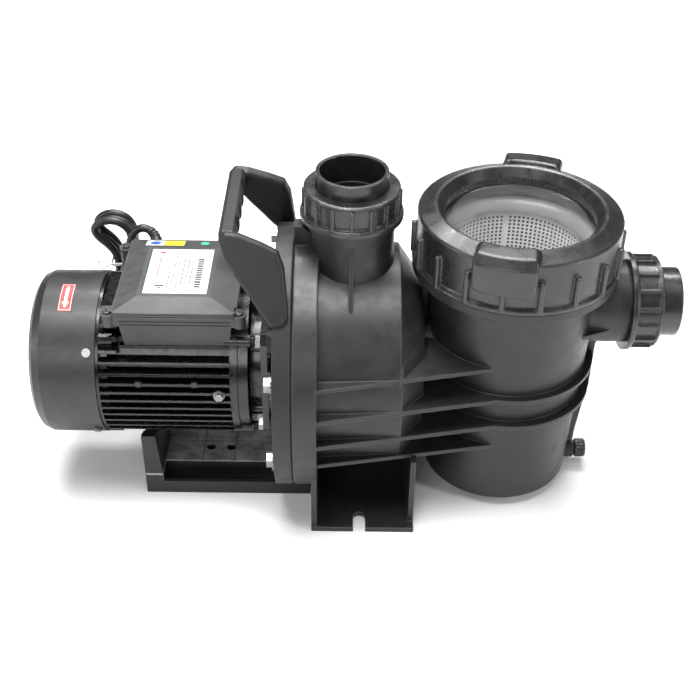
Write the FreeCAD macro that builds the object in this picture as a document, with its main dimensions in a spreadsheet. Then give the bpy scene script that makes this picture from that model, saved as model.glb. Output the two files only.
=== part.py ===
"""Pool pump with strainer pot, union connections and electric motor.

Millimetres. +Z is up and Z = 0 is the floor. X = 0 and Y = 0 is the axis of the discharge port,
above the middle of the pump's foot. +X points at the suction port, -X at the motor's fan.
"""
import FreeCAD, Part
import math
import os
import re
import Sketcher

Vector = FreeCAD.Vector
Rotation = FreeCAD.Rotation
Placement = FreeCAD.Placement

UPRIGHT = Rotation()
ALONG_X = Rotation(Vector(0, 1, 0), 90)
ALONG_Y = Rotation(Vector(1, 0, 0), -90)
FACING_FRONT = Rotation(Vector(1, 0, 0), 90)

DIMENSIONS = [
    ("shaft_height", 130, "motor shaft above the floor"),
    ("joint_face", -50.2, "X of the face between pump body and seal plate"),
    ("flange_radius", 123.7, "outside of both large flanges"),
    ("body_flange_width", 21.5, "width of the pump body's flange"),
    ("volute_radius", 104, "outside of the volute at its flange"),
    ("volute_end", 46, "X where the volute's shoulder starts"),
    ("volute_bore", 92, "inside of the volute"),
    ("volute_bore_end", 40, "X of the volute's inner end wall"),
    ("bolt_circle", 112, "radius of the flange bolt circle"),
    ("bolt_radius", 4, "shank of the flange bolts"),
    ("bolt_count", 8, "flange bolts"),
    ("pot_x", 146.9, "X of the strainer pot's axis"),
    ("pot_bottom", 6, "Z of the pot's underside"),
    ("pot_foot_radius", 70, "outside of the pot near its bottom"),
    ("pot_top_radius", 78.4, "outside of the pot under its collar"),
    ("pot_wall", 4, "wall of the pot"),
    ("collar_bottom", 230, "Z of the collar under the lid ring"),
    ("collar_top", 239.5, "Z of the top of that collar"),
    ("collar_radius", 92, "outside of that collar"),
    ("pot_neck_radius", 84.2, "threaded neck inside the lid ring"),
    ("pot_rim", 271, "Z of the pot's rim"),
    ("basket_ledge", 258, "Z of the ledge that carries the basket"),
    ("rib_first", 168, "Z of the highest horizontal rib"),
    ("rib_step", 30, "distance between the ribs"),
    ("rib_count", 4, "horizontal ribs"),
    ("rib_radius", 118.3, "ribs end on this radius at the flange"),
    ("rib_thickness", 4, "thickness of ribs and webs"),
    ("ring_rib_radius", 82, "outside of the ribs that wrap the pot"),
    ("port_bore", 27.5, "bore of both necks"),
    ("tail_bore", 28.3, "bore of both union tails"),
    ("tail_radius", 31.5, "outside of both union tails"),
    ("neck_radius", 36.5, "threaded necks"),
    ("thread_length", 16, "length of the threaded necks"),
    ("nut_bottom", 283, "Z of the discharge nut's lower face"),
    ("nut_height", 28, "height of a union nut"),
    ("nut_radius", 40.5, "body of a union nut"),
    ("nut_flange_radius", 45.3, "lower ring of a union nut"),
    ("nut_rib_count", 16, "grip ribs on a union nut"),
    ("discharge_top", 324.7, "Z of the discharge tail's rim"),
    ("suction_height", 194.8, "Z of the suction port"),
    ("suction_nut_x", 250, "X of the suction nut's inner face"),
    ("suction_end", 297.2, "X of the suction tail's rim"),
    ("drain_height", 14.5, "Z of the drain plug"),
    ("foot_left", -34, "X of the foot's left gusset"),
    ("foot_right", 62, "X of the foot's right end"),
    ("foot_half", 107, "half the width of the foot"),
    ("foot_plate", 5, "thickness of the foot"),
    ("slot_x", 11, "X of the foot's slots"),
    ("slot_width", 11.5, "width of the foot's slots"),
    ("slot_depth", 21, "length of the foot's slots"),
    ("seal_plate_left", -66.7, "X of the seal plate's motor side"),
    ("handle_left", -111, "X of the handle's grip"),
    ("handle_top", 296, "Z of the handle's grip"),
    ("handle_half", 61, "half the width over the handle's grip"),
    ("handle_wall", 12, "thickness of the handle's arms"),
    ("handle_splay", 20, "angle of the arms to the vertical, in degrees"),
    ("ring_outer", 89.5, "outside of the lid ring"),
    ("ring_inner", 85.4, "inside of the lid ring's skirt"),
    ("ring_shoulder", 287.7, "Z of the lid ring's outer edge"),
    ("ring_top", 293, "Z of the lid ring's inner edge"),
    ("ring_skirt", 240.5, "Z of the lid ring's lower edge"),
    ("ring_opening", 66.4, "opening of the lid ring above the lens"),
    ("ring_mouth", 73, "opening of the lid ring at its top"),
    ("ring_rib_step", 20, "angle between the lid ring's ribs, in degrees"),
    ("grip_half", 27, "half the width of a lid grip"),
    ("grip_radius", 100.5, "reach of a lid grip"),
    ("grip_bottom", 261, "Z of a lid grip's lower edge"),
    ("grip_top", 297, "Z of a lid grip's upper edge"),
    ("grip_turn", -14, "rest angle of the lid grips, in degrees"),
    ("lens_top", 286, "Z of the lens"),
    ("lens_radius", 65.4, "raised window of the lens"),
    ("shaft_radius", 8.5, "shaft at the front bearing and through the seal"),
    ("shaft_rotor_radius", 11, "shaft in the rotor"),
    ("shaft_tail_radius", 7.5, "shaft at the rear bearing and fan"),
    ("impeller_radius", 58, "outside of the impeller"),
    ("eye_radius", 26, "outside of the impeller's eye ring"),
    ("housing_radius", 66, "motor housing under its fins"),
    ("housing_bore", 60, "inside of the motor housing"),
    ("fin_radius", 76, "tips of the motor's fins"),
    ("housing_left", -223.5, "X of the housing's fan end"),
    ("housing_right", -100, "X of the housing's pump end"),
    ("fin_thickness", 2.2, "thickness of a fin"),
    ("cover_radius", 76.2, "outside of the fan cover"),
    ("cover_left", -288, "X of the fan cover's grille"),
    ("cover_wall", 1.8, "wall of the fan cover"),
    ("tie_circle", 69.5, "radius of the tie bolt circle"),
    ("box_left", -204, "X of the terminal box"),
    ("box_right", -103, "X of the terminal box's pump end"),
    ("box_half", 57.5, "half the width of the terminal box"),
    ("box_bottom", 176.5, "Z of the terminal box's underside"),
    ("box_top", 211, "Z of the terminal box's rim"),
    ("lid_left", -207.7, "X of the terminal lid"),
    ("lid_right", -99.3, "X of the terminal lid's pump end"),
    ("lid_half", 61, "half the width of the terminal lid"),
    ("lid_rim", 216, "Z of the terminal lid's rim"),
    ("lid_panel", 220.3, "Z of the terminal lid's raised panel"),
    ("tray_left", -195.5, "X of the motor base"),
    ("tray_right", -36.7, "X of the motor base's pump end"),
    ("tray_half", 56.6, "half the width of the motor base"),
    ("tray_lip", 14.3, "height of the motor base's lips"),
    ("cradle_top", 71.4, "height of the cradle under the motor"),
    ("platform_top", 24, "height of the motor base's platform"),
    ("base_hole_radius", 4.5, "screw holes of the motor base"),
    ("base_hole_x", -126, "X of the middle of the screw holes"),
    ("cord_diameter", 8, "mains cord"),
    ("hank_width", 44, "width of the tied hank of cord"),
    ("hank_y", 116.4, "Y of the hank's middle"),
    ("hank_thickness", 32.8, "four cords deep"),
]

document = FreeCAD.newDocument("pool_pump")
sheet = document.addObject("Spreadsheet::Sheet", "dims")
for row, (alias, number, meaning) in enumerate(DIMENSIONS, start=1):
    sheet.set("A%d" % row, meaning)
    sheet.set("B%d" % row, str(number))
    sheet.setAlias("B%d" % row, alias)
document.recompute()

ALIAS_PATTERN = re.compile(r"\b(" + "|".join(alias for alias, _, _ in DIMENSIONS) + r")\b")
sub_parts = []


def linked(text):
    """Turn a size written with alias names into an expression on the sheet."""
    return ALIAS_PATTERN.sub(r"dims.\1", str(text))


def size(text):
    """The present value of a size written with alias names."""
    return float(sheet.evalExpression(linked(text)))


def bind(thing, **sizes):
    for name, text in sizes.items():
        thing.setExpression(name, linked(text))
    return thing


def place(thing, x="0", y="0", z="0", turn=UPRIGHT):
    thing.Placement = Placement(Vector(), turn)
    for axis, text in (("x", x), ("y", y), ("z", z)):
        thing.setExpression("Placement.Base." + axis, linked(text))
    return thing


def add(kind, name):
    return document.addObject(kind, name)


def post(name, radius, bottom, top, x="0", y="0"):
    """Upright cylinder."""
    cylinder = bind(add("Part::Cylinder", name), Radius=radius, Height=f"({top}) - ({bottom})")
    return place(cylinder, x, y, bottom)


def rod(name, radius, left, right, y="0", z="shaft_height"):
    """Cylinder along X."""
    cylinder = bind(add("Part::Cylinder", name), Radius=radius, Height=f"({right}) - ({left})")
    return place(cylinder, left, y, z, ALONG_X)


def bar(name, radius, front, back, x, z):
    """Cylinder along Y."""
    cylinder = bind(add("Part::Cylinder", name), Radius=radius, Height=f"({back}) - ({front})")
    return place(cylinder, x, front, z, ALONG_Y)


def cone_post(name, bottom_radius, top_radius, bottom, top, x="0", y="0"):
    cone = add("Part::Cone", name)
    bind(cone, Radius1=bottom_radius, Radius2=top_radius, Height=f"({top}) - ({bottom})")
    return place(cone, x, y, bottom)


def cone_rod(name, left_radius, right_radius, left, right, y="0", z="shaft_height"):
    cone = add("Part::Cone", name)
    bind(cone, Radius1=left_radius, Radius2=right_radius, Height=f"({right}) - ({left})")
    return place(cone, left, y, z, ALONG_X)


def block(name, left, right, front, back, bottom, top):
    box = add("Part::Box", name)
    bind(box, Length=f"({right}) - ({left})", Width=f"({back}) - ({front})", Height=f"({top}) - ({bottom})")
    return place(box, left, front, bottom)


def frustum(name, low, high, bottom, top):
    """Upright box whose sides slope; low and high are (left, right, half width)."""
    wedge = add("Part::Wedge", name)
    bind(wedge, Xmin=low[0], Xmax=low[1], Zmin=f"-({low[2]})", Zmax=low[2])
    bind(wedge, X2min=high[0], X2max=high[1], Z2min=f"-({high[2]})", Z2max=high[2])
    bind(wedge, Ymin="0", Ymax=f"({top}) - ({bottom})")
    return place(wedge, z=bottom, turn=FACING_FRONT)


def fuse(name, shapes):
    union = add("Part::MultiFuse", name)
    union.Shapes = shapes
    return union


def cut(name, base, tools):
    result = add("Part::Cut", name)
    result.Base = base
    result.Tool = tools[0] if len(tools) == 1 else fuse(name + "_tools", tools)
    return result


def common(name, base, tool):
    result = add("Part::Common", name)
    result.Base = base
    result.Tool = tool
    return result


def soften(name, base, radius, wanted):
    """Rounds the edges whose middle point passes the test wanted(point, edge)."""
    document.recompute()
    chosen = []
    for index, edge in enumerate(base.Shape.Edges, start=1):
        if wanted(edge.CenterOfMass, edge):
            chosen.append((index, radius, radius))
    rounding = add("Part::Fillet", name)
    rounding.Base = base
    rounding.Edges = chosen
    return rounding


def every_edge(point, edge):
    return True


def radial_edge(point, edge):
    """Edges that run straight away from the pot's axis, or nearly so."""
    start, end = edge.Vertexes[0].Point, edge.Vertexes[-1].Point
    outward = Vector(point.x - size("pot_x"), point.y, 0).normalize()
    return abs((end - start).dot(outward)) > 0.8 * edge.Length


def upright_edge(point, edge):
    start, end = edge.Vertexes[0].Point, edge.Vertexes[-1].Point
    return abs(end.z - start.z) > 0.8 * edge.Length


def group(name, shapes):
    """Separate solids that share one node."""
    compound = add("Part::Compound", name)
    compound.Links = shapes
    return compound


def draw_outline(sketch, points):
    """Closed outline of straight lines whose corners are bound to the sheet."""
    corners = [Vector(size(u), size(v), 0) for u, v in points]
    count = len(points)
    for index in range(count):
        sketch.addGeometry(Part.LineSegment(corners[index], corners[(index + 1) % count]))
    for index in range(count):
        sketch.addConstraint(Sketcher.Constraint("Coincident", index, 2, (index + 1) % count, 1))
    for index, (u, v) in enumerate(points):
        for kind, text, number in (("DistanceX", u, corners[index].x), ("DistanceY", v, corners[index].y)):
            constraint = sketch.addConstraint(Sketcher.Constraint(kind, -1, 1, index, 1, number))
            sketch.setExpression("Constraints[%d]" % constraint, linked(text))


def body_sketch(body, role, points, name):
    sketch = body.newObject("Sketcher::SketchObject", name)
    plane = [feature for feature in body.Origin.OriginFeatures if feature.Role == role][0]
    sketch.AttachmentSupport = [(plane, "")]
    sketch.MapMode = "FlatFace"
    draw_outline(sketch, points)
    return sketch


def turned(name, points, axis="H_Axis", x="0", y="0", z="shaft_height", turn=UPRIGHT):
    """Body of revolution; H_Axis outlines are (x, radius), V_Axis outlines are (radius, z)."""
    body = add("PartDesign::Body", name)
    sketch = body_sketch(body, "XZ_Plane", points, name + "_outline")
    revolution = body.newObject("PartDesign::Revolution", name + "_revolution")
    revolution.Profile = sketch
    revolution.ReferenceAxis = (sketch, [axis])
    revolution.Angle = 360
    return place(body, x, y, z, turn)


def polar_fins(body, points, height, count, name, turn_axis="Z_Axis", role="XY_Plane"):
    """Pads an outline and repeats it round one of the body's own axes."""
    document.recompute()
    sketch = body_sketch(body, role, points, name + "_outline")
    pad = body.newObject("PartDesign::Pad", name + "_pad")
    pad.Profile = sketch
    bind(pad, Length=height)
    pattern = body.newObject("PartDesign::PolarPattern", name + "_pattern")
    pattern.Originals = [pad]
    axis = [feature for feature in body.Origin.OriginFeatures if feature.Role == turn_axis][0]
    pattern.Axis = (axis, [""])
    pattern.Angle = 360
    bind(pattern, Occurrences=count)
    body.Tip = pattern
    return body


def plate(name, points, start, end, turn=UPRIGHT, x="0", y="0", z="0"):
    """Extruded outline; turned by FACING_FRONT its outline is (x, z) and it runs along -Y."""
    sketch = add("Sketcher::SketchObject", name + "_outline")
    draw_outline(sketch, points)
    extrusion = add("Part::Extrusion", name)
    extrusion.Base = sketch
    extrusion.DirMode = "Normal"
    extrusion.Solid = True
    bind(extrusion, LengthFwd=end, LengthRev=f"-({start})")
    return place(extrusion, x, y, z, turn)


def torus_x(name, ring_radius, wire_radius, x, z="shaft_height"):
    ring = bind(add("Part::Torus", name), Radius1=ring_radius, Radius2=wire_radius)
    return place(ring, x, "0", z, ALONG_X)


def torus_z(name, ring_radius, wire_radius, z, x="0"):
    ring = bind(add("Part::Torus", name), Radius1=ring_radius, Radius2=wire_radius)
    return place(ring, x, "0", z)


def around_shaft(radius, degrees):
    """Y and Z texts of a point on a circle about the shaft."""
    angle = math.radians(degrees)
    across = f"({radius}) * {math.cos(angle):.6f}"
    above = f"shaft_height + ({radius}) * {math.sin(angle):.6f}"
    return across, above


def rod_circle(name, radius, left, right, circle, angles):
    rods = []
    for index, degrees in enumerate(angles):
        y, z = around_shaft(circle, degrees)
        rods.append(rod("%s_%d" % (name, index + 1), radius, left, right, y, z))
    return rods


def node(thing, label):
    """Gives a finished sub-part the label that names its file."""
    thing.Label = label
    sub_parts.append(thing)
    return thing


BOLT_ANGLES = [22.5 + 45 * index for index in range(int(size("bolt_count")))]
CORNER_ANGLES = [45, 135, 225, 315]
COVER_SCREW_ANGLES = [35, 145, 215, 325]
BALL_COUNT = 9


def pump_body():
    flange_end = "joint_face + body_flange_width"
    ribs = []
    for index in range(int(size("rib_count"))):
        height = f"rib_first - rib_step * {index}"
        reach = f"sqrt(rib_radius ^ 2 - (rib_first - rib_step * {index} - shaft_height) ^ 2)"
        wraps = index in (1, 2)
        end = "ring_rib_radius * 0.98" if wraps else "pot_foot_radius + 2"
        outline = [("joint_face + 5", f"-{reach}"), ("pot_x - 15", f"-({end})"),
                   ("pot_x - 15", end), ("joint_face + 5", reach)]
        low = "-rib_thickness / 2"
        ribs.append(plate("rib_%d" % (index + 1), outline, low, "rib_thickness / 2", z=height))
        if wraps:
            ribs.append(post("ring_rib_%d" % index, "ring_rib_radius", f"{height} {low}",
                             f"{height} + rib_thickness / 2", "pot_x"))
    side_web = plate("side_web", [("pot_x + 60", "20"), ("pot_x + 77.8", "26"), ("pot_x + 78.5", "42"),
                                  ("pot_x + 82", "77"), ("pot_x + 84.8", "98"), ("pot_x + 84.5", "146"),
                                  ("pot_x + 90", "166"), ("pot_x + 60", "170")],
                     "-rib_thickness / 2", "rib_thickness / 2", FACING_FRONT)
    suction_web = plate("suction_web", [("pot_x + 50", "-50"), ("pot_x + 62", "-47.5"), ("pot_x + 88", "-37"),
                                        ("pot_x + 88", "37"), ("pot_x + 62", "47.5"), ("pot_x + 50", "50")],
                        "-1.8", "1.8", z="suction_height - 9")
    lug = plate("lug", [("joint_face", "246"), ("joint_face + 14", "250"), ("joint_face + 14.2", "265.3"),
                        ("joint_face + 7.6", "272.7"), ("joint_face", "272.7")],
                "-7", "7", FACING_FRONT)
    neck_web = plate("neck_web", [("-38", "270"), ("-68.5", "203"), ("-55", "200"), ("-30", "262")],
                     "-1.8", "1.8", Rotation(Vector(0, 0, 1), 90) * FACING_FRONT)
    outer = fuse("body_outer", [
        cone_rod("body_flange_edge", "flange_radius - 1.2", "flange_radius", "joint_face",
                 "joint_face + 1.2"),
        rod("body_flange", "flange_radius", "joint_face + 1.2", flange_end),
        cone_rod("volute_shell", "volute_radius", "volute_radius - 5", f"{flange_end} - 1", "volute_end"),
        cone_rod("volute_swell", "volute_radius - 4", "volute_radius - 8", f"{flange_end} - 1",
                 "volute_end - 2", z="shaft_height + 12"),
        cone_rod("volute_swell_shoulder", "volute_radius - 8", "volute_radius - 36", "volute_end - 2",
                 "volute_end + 18", z="shaft_height + 12"),
        cone_rod("volute_shoulder", "volute_radius - 5", "volute_radius - 30", "volute_end",
                 "volute_end + 20"),
        rod("duct_shell", "44", "volute_end + 10", "pot_x - 40", z="shaft_height + 6"),
        block("duct_web", "volute_end + 4", "pot_x - 60", "-4", "4", "shaft_height", "206"),
        cone_post("neck_cone", "39", "37.5", "203", "269"),
        post("neck_collar", "38", "268", "nut_bottom - 1"),
        post("neck_thread", "neck_radius", "nut_bottom - 2", "nut_bottom + thread_length"),
        cone_post("pot_bottom_edge", "pot_foot_radius - 5", "pot_foot_radius", "pot_bottom",
                  "pot_bottom + 5", "pot_x"),
        cone_post("pot_shell", "pot_foot_radius", "pot_top_radius", "pot_bottom + 5", "collar_top", "pot_x"),
        cone_post("collar_slope", "pot_top_radius", "collar_radius", "collar_bottom - 8",
                  "collar_bottom + 2", "pot_x"),
        post("collar", "collar_radius", "collar_bottom + 2", "collar_top", "pot_x"),
        post("pot_neck", "pot_neck_radius", "collar_top - 1", "pot_rim", "pot_x"),
        rod("suction_neck", "38", "pot_x + 60", "suction_nut_x - 1", z="suction_height"),
        rod("suction_thread", "neck_radius", "suction_nut_x - 2", "suction_nut_x + thread_length",
            z="suction_height"),
        rod("drain_boss", "9.5", "pot_x + 62", "pot_x + 79", z="drain_height"),
        block("foot_base", "foot_left", "foot_right", "-foot_half", "foot_half", "0", "foot_plate"),
        block("left_gusset", "foot_left", "foot_left + 5", "2 - foot_half", "foot_half - 2", "0",
              "rib_first - 3 * rib_step"),
        block("right_gusset", "foot_right - 5", "foot_right", "10 - foot_half", "foot_half - 10", "0",
              "rib_first - 3 * rib_step"),
        side_web, suction_web, lug, neck_web] + ribs)
    inserts = rod_circle("insert_hole", "6", "joint_face - 1", "joint_face + 18", "bolt_circle", BOLT_ANGLES)
    slots = []
    for side in (-1, 1):
        inner = f"{side} * (foot_half - slot_depth + slot_width / 2)"
        ends = sorted([size(inner), side * 120.0])
        slots.append(block("slot_%d" % (side + 1), "slot_x - slot_width / 2", "slot_x + slot_width / 2",
                           str(ends[0]), str(ends[1]), "-1", "foot_plate + 1"))
        slots.append(post("slot_round_%d" % (side + 1), "slot_width / 2", "-1", "foot_plate + 1",
                          "slot_x", inner))
    cavities = [
        rod("volute_cavity", "volute_bore", "joint_face - 1", "volute_bore_end"),
        rod("snout_seat", "32", "volute_bore_end - 1", "volute_bore_end + 8"),
        cone_rod("passage", "27", "34", "volute_bore_end + 7", "pot_x - 60"),
        post("discharge_bore", "port_bore", "shaft_height + 70", "nut_bottom + thread_length + 1"),
        cone_post("pot_cavity", "pot_foot_radius - pot_wall", "pot_foot_radius + 3", "pot_bottom + 4",
                  "basket_ledge", "pot_x"),
        post("ledge_bore", "76", "basket_ledge", "pot_rim + 1", "pot_x"),
        rod("suction_bore", "port_bore", "pot_x + 50", "suction_nut_x + thread_length + 1",
            z="suction_height"),
        rod("drain_bore", "4.2", "pot_x + 50", "pot_x + 80", z="drain_height"),
        block("seal_side_space", "joint_face - 40", "joint_face", "-130", "130", "0", "300")]
    node(cut("pump_body_cut", outer, cavities + inserts + slots), "pump_body")


def handle_arm(side):
    """One arm of the handle, an outline (x, height) tilted outwards towards its foot."""
    outline = [("handle_left", "handle_top - 7"), ("handle_left + 5", "handle_top"),
               ("handle_left + 17", "handle_top - 1.5"), ("handle_left + 36", "handle_top - 9"),
               ("handle_left + 50", "handle_top - 16"), ("handle_left + 55", "handle_top - 30"),
               ("joint_face - 3.5", "handle_top - 56"), ("joint_face - 2.5", "handle_top - 73"),
               ("joint_face - 7", "handle_top - 80"), ("joint_face - 17", "handle_top - 82"),
               ("handle_left + 36", "handle_top - 72.5"), ("handle_left + 27", "handle_top - 58"),
               ("handle_left + 17", "handle_top - 43"), ("handle_left + 5", "handle_top - 23")]
    lean = Rotation(Vector(1, 0, 0), side * size("handle_splay"))
    points = [(u, f"({v}) - handle_top") for u, v in outline]
    arm = plate("handle_arm_%d" % (side + 1), points, "-handle_wall / 2", "handle_wall / 2",
                lean * FACING_FRONT, "0", f"{side} * (handle_half - handle_wall / 2)", "handle_top")
    return soften("handle_arm_soft_%d" % (side + 1), arm, 4.2, every_edge)


def seal_plate():
    left = "seal_plate_left"
    grip = plate("grip", [("handle_left", "handle_top - 3"), ("handle_left + 3", "handle_top"),
                          ("handle_left + 12", "handle_top"), ("handle_left + 15", "handle_top - 3"),
                          ("handle_left + 15", "handle_top - 17"), ("handle_left + 12", "handle_top - 20"),
                          ("handle_left + 5", "handle_top - 20"), ("handle_left", "handle_top - 14")],
                 "5 - handle_half", "handle_half - 5", FACING_FRONT)
    grip = soften("grip_soft", grip, 2.4, every_edge)
    outer = fuse("seal_outer", [
        rod("seal_flange", "flange_radius", left, "joint_face - 1.4"),
        cone_rod("seal_flange_edge", "flange_radius", "flange_radius - 1.2", "joint_face - 1.4",
                 "joint_face - 0.2"),
        rod("seal_spigot", "volute_bore - 0.4", "joint_face - 1", "joint_face + 4"),
        grip, handle_arm(-1), handle_arm(1)]
        + rod_circle("adapter_boss", "11", f"{left} - 7.3", f"{left} + 1", "68", CORNER_ANGLES))
    grooves = [
        cut("back_pocket", rod("back_pocket_outer", "100", f"{left} - 1", f"{left} + 7"),
            [rod("back_pocket_inner", "84", f"{left} - 2", f"{left} + 8")]),
        cut("seal_groove", rod("seal_groove_outer", "100.6", "joint_face - 3.6", "joint_face + 1"),
            [rod("seal_groove_inner", "96", "joint_face - 4", "joint_face + 2")]),
        rod("back_hub_space", "52", f"{left} - 1", f"{left} + 6"),
        rod("shaft_hole", "10.2", f"{left} - 1", "joint_face + 6"),
        rod("seat_pocket", "18", "joint_face - 3", "joint_face + 5")]
    bolt_holes = rod_circle("seal_bolt_hole", "bolt_radius + 0.4", f"{left} - 1", "joint_face + 1",
                            "bolt_circle", BOLT_ANGLES)
    adapter_holes = rod_circle("adapter_hole", "3.5", f"{left} - 8", f"{left} + 9", "68", CORNER_ANGLES)
    finger_grooves = []
    for index in range(4):
        finger_grooves.append(post("finger_groove_%d" % (index + 1), "12", "handle_top - 30",
                                   "handle_top + 5", "handle_left + 24", f"{-33 + 22 * index}"))
    node(cut("seal_plate_cut", outer, grooves + bolt_holes + adapter_holes + finger_grooves), "seal_plate")


def flange_fasteners():
    left = "seal_plate_left"
    bolts = []
    inserts = []
    for index, degrees in enumerate(BOLT_ANGLES):
        y, z = around_shaft("bolt_circle", degrees)
        name = "flange_bolt_%d" % (index + 1)
        bolts.append(fuse(name, [
            rod(name + "_shank", "bolt_radius", left, "joint_face + 14", y, z),
            rod(name + "_washer", "8.5", f"{left} - 1.6", left, y, z),
            hexagon(name + "_head", "6.5", f"{left} - 7", f"{left} - 1.6", y, z)]))
        inserts.append(cut("insert_%d" % (index + 1),
                           rod("insert_outer_%d" % (index + 1), "6", "joint_face + 1", "joint_face + 18",
                               y, z),
                           [rod("insert_inner_%d" % (index + 1), "bolt_radius", "joint_face",
                                "joint_face + 14.5", y, z)]))
    node(group("bolt_group", bolts), "flange_bolts")
    node(group("insert_group", inserts), "flange_inserts")


def hexagon(name, across_half, left, right, y, z):
    """Hexagonal head along X."""
    prism = add("Part::Prism", name)
    prism.Polygon = 6
    bind(prism, Circumradius=f"({across_half}) / 0.866", Height=f"({right}) - ({left})")
    return place(prism, left, y, z, ALONG_X)


def wet_end():
    node(torus_x("body_ring", "98.3", "1.75", "joint_face - 1.75"), "body_o_ring")
    diffuser = turned("diffuser_turned", [("joint_face + 8", "66"), ("-18", "66"), ("-18", "31"),
                                          ("-12", "31"), ("-12", "27.5"), ("44", "27.5"), ("44", "31.5"),
                                          ("-6", "31.5"), ("-10", "38"), ("-10", "70"),
                                          ("joint_face + 8", "70")])
    slots = []
    for index in range(4):
        slot = block("diffuser_slot_%d" % (index + 1), "joint_face + 12", "-20", "-80", "80",
                     "shaft_height - 5", "shaft_height + 5")
        slots.append(turn_about_shaft(slot, 45 * index + 22.5))
    node(cut("diffuser_cut", diffuser, slots), "diffuser")
    node(turned("wear_turned", [("-18", "26.4"), ("-12", "26.4"), ("-12", "31"), ("-18", "31")]), "wear_ring")
    impeller_shell = turned("impeller_shell", [
        ("-38", "9"), ("-38", "impeller_radius"), ("-35.5", "impeller_radius"), ("-35.5", "20"),
        ("-24", "14"), ("-22", "6"), ("-24", "6"), ("-24", "9")])
    impeller_front = turned("impeller_front", [
        ("-25", "impeller_radius"), ("-22.5", "impeller_radius"), ("-19", "eye_radius"),
        ("-13", "eye_radius"), ("-13", "eye_radius - 2.5"), ("-21", "eye_radius - 2.5")])
    vanes = []
    for index in range(6):
        vane = block("vane_%d" % (index + 1), "-36", "-22.8", "-1.5", "1.5", "shaft_height + 19",
                     "shaft_height + impeller_radius - 1.5")
        vanes.append(turn_about_shaft(vane, 60 * index, 22))
    node(fuse("impeller_fused", [impeller_shell, impeller_front] + vanes), "impeller")
    screw = fuse("impeller_screw_fused", [rod("impeller_screw_head", "8", "-21.9", "-17"),
                                          rod("impeller_screw_shank", "4", "-36", "-21.8")])
    node(screw, "impeller_screw")
    node(turned("seat_turned", [("joint_face - 3", "11"), ("joint_face + 4.2", "11"),
                                ("joint_face + 4.2", "14"), ("joint_face + 1", "18"),
                                ("joint_face - 3", "18")]), "seal_seat")
    node(turned("head_turned", [("joint_face + 4.4", "shaft_radius"), ("joint_face + 4.4", "14"),
                                ("joint_face + 8", "14"), ("joint_face + 8", "shaft_radius")]), "seal_head")
    coils = [torus_x("seal_coil_%d" % (index + 1), "11.5", "0.8", f"joint_face + {9 + 1.9 * index}")
             for index in range(2)]
    node(group("seal_coils", coils), "seal_spring")
    node(turned("slinger_turned", [("-79", "shaft_radius"), ("-79", "20"), ("-77.5", "20"),
                                   ("-76", "12"), ("-74", "12"), ("-74", "shaft_radius")]), "slinger")


def turn_about_shaft(thing, degrees, lean=0):
    """Turns a piece about the shaft, after leaning it about its own middle line along X."""
    document.recompute()
    centre = Vector(0, 0, size("shaft_height"))
    thing_centre = thing.Shape.BoundBox.Center
    lean_turn = Placement(Vector(), Rotation(Vector(1, 0, 0), lean), thing_centre)
    shaft_turn = Placement(Vector(), Rotation(Vector(1, 0, 0), degrees), centre)
    base = thing.Placement
    for axis in "xyz":
        thing.setExpression("Placement.Base." + axis, None)
    thing.Placement = shaft_turn * lean_turn * base
    return thing


def union_joint(prefix, x, z, turn, tail_end):
    """Union nut, tail and O-ring; local Z runs out of the port from the nut's inner face."""
    nut = turned(prefix + "_nut_body", [
        ("neck_radius + 0.5", "0"), ("nut_flange_radius", "0"), ("nut_flange_radius", "4"),
        ("nut_flange_radius - 1.5", "5.5"), ("nut_radius", "5.5"), ("nut_radius", "nut_height - 4"),
        ("nut_radius + 1.5", "nut_height - 3"), ("nut_radius + 1.5", "nut_height - 1"),
        ("nut_radius", "nut_height"), ("tail_radius + 0.5", "nut_height"),
        ("tail_radius + 0.5", "thread_length + 5.4"), ("neck_radius + 0.5", "thread_length + 5.4")],
        "V_Axis", x, "0", z, turn)
    rib = [("nut_radius - 1", "-1.5"), ("nut_radius + 3", "-1.5"), ("nut_radius + 3", "1.5"),
           ("nut_radius - 1", "1.5")]
    polar_fins(nut, rib, "nut_height - 4", "nut_rib_count", prefix + "_rib")
    node(nut, prefix + "_nut")
    tail = turned(prefix + "_tail_body", [
        ("tail_bore", "thread_length + 0.4"), ("31", "thread_length + 0.4"), ("31", "thread_length + 2.8"),
        ("34", "thread_length + 2.8"), ("34", "thread_length + 0.4"), ("35.8", "thread_length + 0.4"),
        ("35.8", "thread_length + 5"), ("tail_radius", "thread_length + 5"), ("tail_radius", tail_end),
        ("tail_bore", tail_end)], "V_Axis", x, "0", z, turn)
    node(tail, prefix + "_tail")
    ring = bind(add("Part::Torus", prefix + "_ring"), Radius1="32.5", Radius2="1.3")
    if turn is ALONG_X:
        place(ring, f"{x} + thread_length + 1.4", "0", z, turn)
    else:
        place(ring, x, "0", f"{z} + thread_length + 1.4", turn)
    node(ring, prefix + "_o_ring")


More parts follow.
